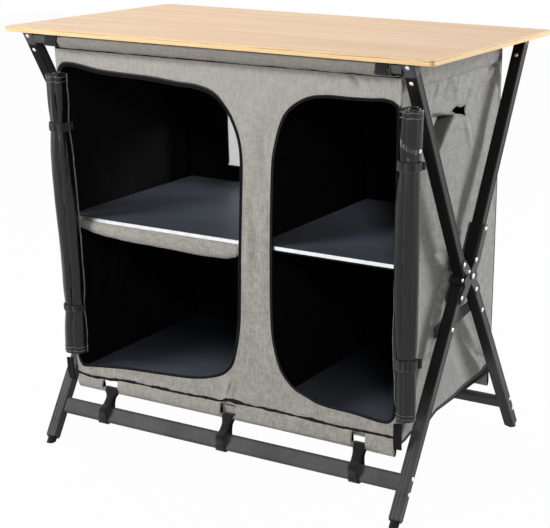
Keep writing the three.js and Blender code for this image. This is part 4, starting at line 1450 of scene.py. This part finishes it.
# For each roll: its middle's x at the foot and the head in millimetres, the angle where its outer edge lies in
# degrees, its ties (height and half width in metres) and its creases (angle at the foot and at the head in
# degrees, depth as a share of the radius, half width in degrees)
ROLLS = {
    "left": (-337.0, -341.0, 12, ((0.6255, 0.0075), (0.280, 0.006)),
             ((-66, -70, 0.26, 8), (-112, -96, 0.06, 18), (-24, -34, 0.05, 15), (60, 80, 0.12, 20))),
    "right": (381.5, 386.0, 150, ((0.629, 0.0075), (0.291, 0.0095)),
              ((-100, -92, 0.24, 8), (-68, -76, 0.12, 8), (-30, -22, 0.12, 13), (70, 60, 0.12, 20))),
}
# Their middle along y, the turns of the cloth and the radius of the hollow middle, in metres
ROLL_Y = -0.2265
TURNS = 2.35
CORE = 0.0085


class Roll:
    """The shape of one rolled-up door."""

    def __init__(self, side, sign):
        low, high, _ = place(f"door_roll_{side}")
        self.sign = sign
        self.base, self.top = low.z + 0.001, high.z - 0.001
        self.foot, self.head, start, self.ties, self.creases = ROLLS[side]
        self.start = math.radians(start)

    def height(self, share):
        return self.base + (self.top - self.base) * share

    def centre(self, share):
        """Where the middle stands: the left roll bows inwards, the right roll is drawn in at its foot."""
        if self.sign < 0:
            bow = 2 + 2 * share + 6.5 * math.sin(math.pi * share)
        else:
            bow = 3 * math.exp(-(share / 0.14) ** 2)
        return Vector(((self.foot + (self.head - self.foot) * share + bow) * MM, ROLL_Y, 0))

    def crease(self, angle, share):
        """How far the creases draw the cloth in at an angle and a height, below 0, as a share of the radius."""
        depth = 0.0
        for foot, head, deep, width in self.creases:
            lean = math.radians(foot + (head - foot) * share) + 0.10 * math.sin(share * 11 + foot)
            away = (angle - lean + math.pi) % (2 * math.pi) - math.pi
            uneven = 0.75 + 0.45 * wobble(share * 6, foot, head)
            depth -= deep * math.exp(-(away / math.radians(width)) ** 2) * uneven
        return depth

    def point(self, turn, share, z):
        """A point of the cloth: turn runs along the wound cloth and is 1 at its free outer edge."""
        sign = self.sign
        angle = self.start - sign * (turn - 1) * TURNS * 2 * math.pi
        cosine, sine = math.cos(angle), math.sin(angle)
        pinch = sum(math.exp(-((z - tie) / 0.026) ** 2) for tie, _ in self.ties)
        body = 0.0212 - 0.0030 * pinch + 0.0010 * math.sin(share * 9 + 1.7)
        if sign > 0:
            body -= 0.0045 * math.exp(-(share / 0.2) ** 2)
        radius = CORE + (body - CORE) * turn ** 0.8
        uneven = math.cos(3 * angle + share * 3.2) * 0.035 + math.cos(2 * angle - share * 5.0 + 1) * 0.045
        uneven += wobble(cosine * 2.2, sine * 2.2, share * 3.0 + sign) * 0.07
        uneven += wobble(cosine * 4.5, sine * 4.5, share * 19 + sign) * 0.018
        above = math.exp(-((z - self.ties[0][0] - 0.034) / 0.024) ** 2)
        uneven += above * wobble(cosine * 2.6, sine * 2.6, z * 34 + sign * 5) * 0.05
        uneven += pinch * math.cos(9 * angle) * 0.03
        uneven += self.crease(angle, share)
        reach = radius * (1 + uneven * turn)
        middle = self.centre(share) + Vector((0.0016 * math.sin(share * 7), 0.001 * math.cos(share * 6), 0))
        offset = Vector((reach * cosine * 1.04, reach * sine, 0))
        if sign > 0 and turn > 0.62:
            # The right roll is pressed flat in front, above its upper tie
            front = Vector((0.174, -0.985, 0))
            pressed = clamp((z - 0.640) / 0.006) * clamp((0.702 - z) / 0.012)
            ahead = offset.dot(front) - 0.8 * body
            if ahead > 0:
                offset -= front * (ahead * 0.85 * pressed)
        return Vector((middle.x + offset.x, middle.y + offset.y, z))

    def ring(self, z, out):
        """A line once round the roll at that height, standing off its cloth."""
        share = (z - self.base) / (self.top - self.base)
        centre = self.centre(share) + UP * z
        spots = []
        for step in range(48):
            spot = self.point(1 - step / 48 / TURNS, share, z)
            spots.append(spot + (spot - centre).normalized() * out + UP * (0.0006 * math.sin(step * 0.7)))
        return spots

    def free_edge(self, steps):
        """The line of the cloth's outer edge, a little wavy."""
        line = []
        for step in range(steps + 1):
            share = step / steps
            z = self.height(share)
            spot = self.point(1.0, share, z)
            wave = 0.0012 * wobble(share * 34, 0, self.sign)
            line.append(spot + (spot - self.centre(share) - UP * z).normalized() * (0.0006 + wave))
        return line


class DoorRolls(bpy.types.Operator):
    """Builds the two rolled-up doors with their ties, piping and stitched ends."""

    bl_idname = "cupboard.door_rolls"
    bl_label = "Door rolls"

    def execute(self, context):
        own = context.scene.cupboard_cloth
        cloth = shared("Coated door cloth", door_cloth, own)
        webbing = shared("Charcoal tie weave", webbing_cloth, own, 2.2)
        piping = shared("Pale piping", thread_finish, own.piping)
        thread = shared("Pale stitching", thread_finish, (0.42, 0.42, 0.43))
        fold = (ROLL_Y, -0.061, 0.7)
        points, rings = 150, 236
        for side, sign in SIDES:
            roll = Roll(side, sign)
            tall = roll.top - roll.base
            wound = [roll.point(step / points, 0.5, 0.45) for step in range(points + 1)]
            length = sum((b - a).length for a, b in zip(wound, wound[1:]))
            bm = unit_grid(points, rings)
            add_map(bm, lambda spot: ((spot.x + 0.5) * length, (spot.y + 0.5) * tall))
            for vert in bm.verts:
                turn, share = vert.co.x + 0.5, vert.co.y + 0.5
                loose = 0.0045 * (turn - 0.5) * math.exp(-((1 - share) / 0.02) ** 2)
                vert.co = roll.point(turn, share, roll.height(share) - loose)
            bmesh.ops.recalc_face_normals(bm, faces=bm.faces)
            foot = roll.centre(0)
            outer = max(bm.faces, key=lambda f: (f.calc_center_median().xy - foot.xy).length)
            away = outer.calc_center_median() - foot
            if outer.normal.dot(Vector((away.x, away.y, 0))) < 0:
                bmesh.ops.reverse_faces(bm, faces=bm.faces)
            made = sewn(bm, f"rolled_door_{side}", 0.9 * MM, cloth, offset=-1.0)

            def add(piece):
                hand_over(piece, "cabinet", fold=fold)

            if sign < 0:
                edge_line, bead = roll.free_edge(rings), 1.25 * MM
            else:
                bm, edge_line = self.flap()
                bead = 0.8 * MM
                add(sewn(bm, "door_flap_right", 0.9 * MM, cloth))
            add(along_curve(f"door_piping_{side}", edge_line, bead, piping))
            for label, z in (("top_a", roll.top - 0.0055), ("top_b", roll.top - 0.014),
                             ("foot_a", roll.base + 0.005), ("foot_b", roll.base + 0.012)):
                stitches = along_curve(
                    f"door_stitch_{label}_{side}", roll.ring(z, 0.0004), 0.42 * MM, thread, 2)
                add(stitches)
            for index, (tie, half) in enumerate(roll.ties):
                hub = roll.centre((tie - roll.base) / tall)
                bm = self.tie(roll.ring(tie - half, 0.0014), roll.ring(tie + half, 0.0014), hub)
                add(sewn(bm, f"door_tie_{index}_{side}", 1.0 * MM, webbing, offset=1.0))
                long = (0.0105 if index else 0.0075) if sign > 0 else 0.0055
                bm = self.tie_end(hub + UP * tie, long, half)
                add(sewn(bm, f"door_tie_end_{index}_{side}", 1.0 * MM, webbing))
            hand_over(made, "cabinet", (f"door_roll_{side}",), fold)
        return {"FINISHED"}

    @staticmethod
    def flap():
        """The strip of the right door between the doorway and the roll, and the line of its edge."""
        base, tall = 0.186, 0.436
        # The flap's left edge, up and across in millimetres
        edge = [(186, 358), (224, 352), (280, 348), (360, 347), (462, 349.5), (513, 354), (600, 360), (622, 362)]
        bm = unit_grid(12, 90)
        add_map(bm, lambda spot: ((spot.x + 0.5) * 0.02, (spot.y + 0.5) * tall))
        line = []
        for vert in bm.verts:
            share, up = vert.co.x + 0.5, vert.co.y + 0.5
            z = base + tall * up
            left = level(edge, z / MM) * MM + 0.0009 * math.sin(z * 55)
            ripple = 0.0022 * wobble(share * 2.0, z * 19, 6) + 0.0012 * math.sin(share * 7 + z * 14)
            y = -0.2062 - 0.0095 * share ** 1.4 - ripple * math.sin(math.pi * min(1, share + 0.2))
            vert.co = Vector((left + (0.3715 - left) * share, y, z))
            if share == 0.0:
                line.append(vert.co.copy())
        face_front(bm)
        return bm, sorted(line, key=lambda spot: spot.z)

    @staticmethod
    def tie(lower, upper, hub):
        """The webbing between two rings round the roll, slightly domed."""
        rings = []
        for share in (0.0, 0.25, 0.5, 0.75, 1.0):
            swell = 0.0006 * math.sin(math.pi * share)
            spots = [a.lerp(b, share) for a, b in zip(lower, upper)]
            rings.append([spot + (spot - hub - UP * spot.z).normalized() * swell for spot in spots])
        bm = band(rings)
        add_map(bm, lambda spot: (spot.z, math.atan2(spot.y - hub.y, spot.x - hub.x) * 0.022))
        bmesh.ops.recalc_face_normals(bm, faces=bm.faces)
        return bm

    @staticmethod
    def tie_end(centre, long, half):
        """The loop in which a tie ends, beside the roll."""
        out, beside = Vector((0.885, 0.465, 0)), Vector((-0.465, 0.885, 0))
        root = centre + out * 0.0165
        bm = unit_grid(22, 6)
        add_map(bm, lambda spot: (spot.y * half * 2, spot.x * 0.03))
        for vert in bm.verts:
            run, up = vert.co.x, vert.co.y
            turn = run * math.pi * 1.7
            spot = root + out * (long * (0.35 + 0.65 * math.cos(turn))) + beside * (0.0028 * math.sin(turn))
            vert.co = spot + UP * (up * half * 1.7 + 0.001 * math.cos(turn))
        bmesh.ops.recalc_face_normals(bm, faces=bm.faces)
        return bm


class SmallWebbing(bpy.types.Operator):
    """Builds the stays between the legs, the loops on the top rail and the plain tags."""

    bl_idname = "cupboard.small_webbing"
    bl_label = "Stays, loops and tags"

    def execute(self, context):
        finish = shared("Black webbing weave", webbing_cloth, context.scene.cupboard_cloth)
        # The webbing is a little narrower than its strip in the frame
        kept = 0.86
        for side, sign in SIDES:
            low, high, middle = place(f"leg_stay_{side}")
            bm = unit_grid(48, 6)
            for vert in bm.verts:
                share, up = vert.co.x + 0.5, vert.co.y
                slump = math.sin(math.pi * share)
                lean = 0.012 * (share - 0.5)
                vert.co = Vector((sign * (abs(middle.x) - 0.0018 * slump * (1 + up)),
                                  low.y + share * (high.y - low.y),
                                  middle.z - 0.004 * slump + lean + up * (high.z - low.z) * kept))
            add_map(bm, lambda spot: (spot.z, spot.y))
            bmesh.ops.recalc_face_normals(bm, faces=bm.faces)
            made = sewn(bm, f"leg_webbing_{side}", 1.4 * MM, finish)
            hand_over(made, "hub_pivots", (f"leg_stay_{side}",), WALL_FOLD)
        rail_low, rail_high, centre = place("top_rail_front")
        half_y, half_z = (rail_high.y - rail_low.y) / 2 + 0.0016, (rail_high.z - rail_low.z) / 2 + 0.0014
        corners = 56
        for name, start, stop in (("left", -0.344, -0.315), ("right", 0.326, 0.3515)):
            rings = []
            for k in range(9):
                ring = []
                for step in range(corners):
                    angle = step / corners * 2 * math.pi
                    cosine, sine = math.cos(angle), math.sin(angle)
                    reach = (abs(cosine) ** 6 + abs(sine) ** 6) ** (-1 / 6)
                    puff = 0.0005 * math.sin(k / 8 * math.pi) + (0.0028 if sine < -0.4 and cosine < 0 else 0)
                    ring.append((start + (stop - start) * k / 8,
                                 centre.y + (half_y + puff) * cosine * reach,
                                 centre.z + (half_z + puff * 0.4) * sine * reach))
                rings.append(ring)
            bm = band(rings)
            add_map(bm, lambda spot: (spot.x, math.atan2(spot.z - centre.z, spot.y - centre.y) * 0.014))
            bmesh.ops.recalc_face_normals(bm, faces=bm.faces)
            made = sewn(bm, f"rail_loop_{name}", 1.1 * MM, finish, offset=1.0)
            hand_over(made, "front_top_frame")
        satin = shared("Black tag", tag_finish)
        for name, x, z_top, z_low, lean in (("left", -364.5, 164, 120, -3.872), ("right", 360.4, 170, 121, 0.0)):
            bm = unit_grid(6, 16)
            for vert in bm.verts:
                share, up = vert.co.x, vert.co.y + 0.5
                z = (z_low + (z_top - z_low) * up) * MM
                curl = 0.0016 * math.sin(up * 3.0) + 0.0006 * math.sin(share * 6)
                vert.co = Vector(((x + share * 16.5 + (up - 0.5) * lean) * MM, -0.2085 - curl, z + 0.0018 * share))
            add_map(bm)
            face_front(bm)
            made = sewn(bm, f"plain_tag_{name}", 1.2 * MM, satin)
            hand_over(made, "cabinet", fold=(-0.2065, -0.048, 0.8))
        return {"FINISHED"}


# Places of the rivets on the outer faces of the frame, along y and up, and the points straight in front of the
# caps' screws, across, along y and up, all in millimetres
RIVETS = (
    ("front_top_frame",
     ((-29, 417.5), (27, 358), (63, 307.5), (-8, 399), (220.5, 75.8), (237, 50.8)),
     ((383, -300, 759), (383, -300, 785))),
    ("rear_top_frame",
     ((16.5, 416), (55, 465), (-41, 359.5), (-67, 306.5), (-30, 388.3), (-214, 73.7), (-228, 49.5)),
     ((383, 150, 755.7), (383, 150, 785))),
)


def surface(origin, direction, names):
    """Where a line first meets those nodes, and how the surface faces there."""
    found = []
    for name in names:
        hit, spot, normal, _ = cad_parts[name].ray_cast(origin, direction)
        if hit:
            found.append(((spot - origin).length, spot, normal))
    if not found:
        raise RuntimeError(f"nothing at {tuple(origin)}")
    return min(found, key=lambda item: item[0])[1:]


class Rivets(bpy.types.Operator):
    """Adds the bright rivets and screws of the hub, the rails and the caps."""

    bl_idname = "cupboard.rivets"
    bl_label = "Rivets"

    def execute(self, context):
        own = context.scene.cupboard_frame
        silver = metal_finish("Bright rivet", (0.86, 0.86, 0.87), 0.22)
        for body, rivets, screws in RIVETS:
            bm = bmesh.new()
            for side, sign in SIDES:
                names = [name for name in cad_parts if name.endswith(side) and name.startswith(
                    ("upper_leg", "lower_leg", "hub_plate_outer", "hub_stop", "corner_cap"))]
                spots = [(Vector((sign * 0.45, y * MM, z * MM)), RIGHT * -sign, 1.0) for y, z in rivets]
                spots += [(Vector((sign * x * MM, y * MM, z * MM)), -FORWARD, 0.92) for x, y, z in screws]
                for origin, direction, ratio in spots:
                    spot, normal = surface(origin, direction, names)
                    self.head(bm, spot, -direction if abs(direction.x) > 0.5 else normal,
                              own.rivet_radius * ratio, own.rivet_height)
                if body == "rear_top_frame":
                    self.head(bm, Vector((sign * 0.4013, 0, HUB_Z)), RIGHT * sign, 5.0 * MM, 1.6 * MM)
            made = smooth(piece_from(bm, f"rivets_{body}", silver), 35)
            hand_over(made, body)
        return {"FINISHED"}

    @staticmethod
    def head(bm, spot, normal, radius, height):
        """A low domed head with a flange, standing on a surface."""
        grown = bmesh.ops.create_cone(
            bm, cap_ends=True, segments=24, radius1=radius, radius2=radius * 0.96, depth=height * 0.5)["verts"]
        turn = UP.rotation_difference(normal).to_matrix().to_4x4()
        shift = Matrix.Translation(spot + normal * height * 0.2)
        bmesh.ops.transform(bm, matrix=shift @ turn, verts=grown)
        dome = bmesh.ops.create_uvsphere(bm, u_segments=20, v_segments=10, radius=radius * 0.82)["verts"]
        flat = Matrix.Diagonal((1, 1, height / radius, 1))
        bmesh.ops.transform(bm, matrix=Matrix.Translation(spot + normal * height * 0.42) @ turn @ flat, verts=dome)


# The fitted camera: the picture's width and height, the focal length and the lens's middle in pixels, its sensor
# in millimetres and its place
PICTURE = (550, 528)
FOCAL = 1368.9509
LENS_MIDDLE = (381.240097, 375.433317)
SENSOR = 36.0
CAMERA_SPOT = (1.35675297, -2.16807054, 1.08571166)


class Studio(bpy.types.Operator):
    """Sets up the pale floor, the soft light and the camera."""

    bl_idname = "cupboard.studio"
    bl_label = "Studio"

    def execute(self, context):
        own = context.scene.cupboard_stage
        scene = context.scene
        bm = bmesh.new()
        bmesh.ops.create_grid(bm, x_segments=1, y_segments=1, size=6.0)
        floor = piece_from(bm, "studio_floor", self.floor_finish(own))
        world = scene.world or bpy.data.worlds.new("Studio")
        scene.world = world
        world.use_nodes = True
        world.node_tree.nodes.clear()
        nodes = Finish("", world.node_tree)
        soft = nodes.node("ShaderNodeBackground", {}, (1, 1, 1), own.sky)[0]
        white = nodes.node("ShaderNodeBackground", {}, (1, 1, 1), 1.0)[0]
        mix = nodes.node("ShaderNodeMixShader", {}, nodes.shown(), soft, white)[0]
        nodes.node("ShaderNodeOutputWorld", {}, mix)
        for name, spot, size, power in (
                ("main_light", (-1.75, -2.6, 1.5), 1.5, own.key),
                ("top_light", (-0.9, 0.5, 3.1), 1.8, own.top),
                ("side_light", (2.4, 2.4, 1.3), 1.2, own.fill),
                ("glint_light", (1.99, -2.7, 1.91), 0.6, own.glint)):
            lamp = bpy.data.lights.new(name, "AREA")
            lamp.shape = "DISK"
            lamp.size = size
            lamp.energy = power
            holder = bpy.data.objects.new(name, lamp)
            scene.collection.objects.link(holder)
            holder.location = spot
            holder.rotation_euler = (Vector((0, 0, 0.4)) - Vector(spot)).to_track_quat("-Z", "Y").to_euler()
        camera = bpy.data.cameras.new("studio_camera")
        camera.sensor_fit = "HORIZONTAL"
        camera.sensor_width = SENSOR
        camera.lens = FOCAL / PICTURE[0] * SENSOR
        camera.shift_x = (PICTURE[0] / 2 - LENS_MIDDLE[0]) / PICTURE[0]
        camera.shift_y = (LENS_MIDDLE[1] - PICTURE[1] / 2) / PICTURE[0]
        camera.clip_start, camera.clip_end = 0.05, 60.0
        holder = bpy.data.objects.new("studio_camera", camera)
        scene.collection.objects.link(holder)
        a, e, r = own.azimuth, own.elevation, own.roll
        back = Vector((math.sin(a) * math.cos(e), -math.cos(a) * math.cos(e), math.sin(e)))
        right = Vector((math.cos(a), math.sin(a), 0))
        up = back.cross(right)
        tilted = right * math.cos(r) + up * math.sin(r)
        upright = up * math.cos(r) - right * math.sin(r)
        matrix = Matrix((tilted, upright, back)).transposed().to_4x4()
        matrix.translation = CAMERA_SPOT
        holder.matrix_world = matrix
        scene.camera = holder
        scene.view_settings.view_transform = "Standard"
        return {"FINISHED"}

    @staticmethod
    def floor_finish(own):
        """Pale floor that the camera sees as white, with the object's soft shadow."""
        finish = Finish("Studio floor").set(Base_Color=own.floor, Roughness=1.0, Specular_IOR_Level=0.0)
        glow = finish.node("ShaderNodeEmission", {}, (1, 1, 1), 1.0)[0]
        shader = Value(finish, finish.shader.outputs[0])
        mix = finish.node("ShaderNodeMixShader", {}, finish.shown() * 0.98, shader, glow)[0]
        finish.feed(finish.tree.nodes["Material Output"].inputs["Surface"], mix)
        return finish.material


STEPS = (FrameMetal, WorktopAndBoards, FrontWall, SideWalls, BackWall, InnerCloths, TopSleeves, LowerHems,
         HemStraps, DoorRolls, SmallWebbing, Rivets, Studio)


class CupboardPanel(bpy.types.Panel):
    """Lists the steps that build the cupboard."""

    bl_idname = "VIEW3D_PT_cupboard"
    bl_label = "Camping cupboard"
    bl_space_type = "VIEW_3D"
    bl_region_type = "UI"
    bl_category = "Cupboard"

    def draw(self, context):
        column = self.layout.column()
        for step in STEPS:
            column.operator(step.bl_idname)
        for group in (context.scene.cupboard_cloth, context.scene.cupboard_frame, context.scene.cupboard_stage):
            for key in group.bl_rna.properties.keys():
                if key not in ("rna_type", "name"):
                    column.prop(group, key)


GROUPS = (("cupboard_cloth", ClothSettings), ("cupboard_frame", FrameSettings), ("cupboard_stage", StageSettings))


def register():
    for name, group in GROUPS:
        bpy.utils.register_class(group)
        setattr(bpy.types.Scene, name, PointerProperty(type=group))
    for step in (*STEPS, CupboardPanel):
        bpy.utils.register_class(step)


def unregister():
    for step in reversed((*STEPS, CupboardPanel)):
        bpy.utils.unregister_class(step)
    for name, group in reversed(GROUPS):
        delattr(bpy.types.Scene, name)
        bpy.utils.unregister_class(group)


def main():
    register()
    for step in STEPS:
        family, name = step.bl_idname.split(".")
        getattr(getattr(bpy.ops, family), name)()


if __name__ == "__main__":
    main()
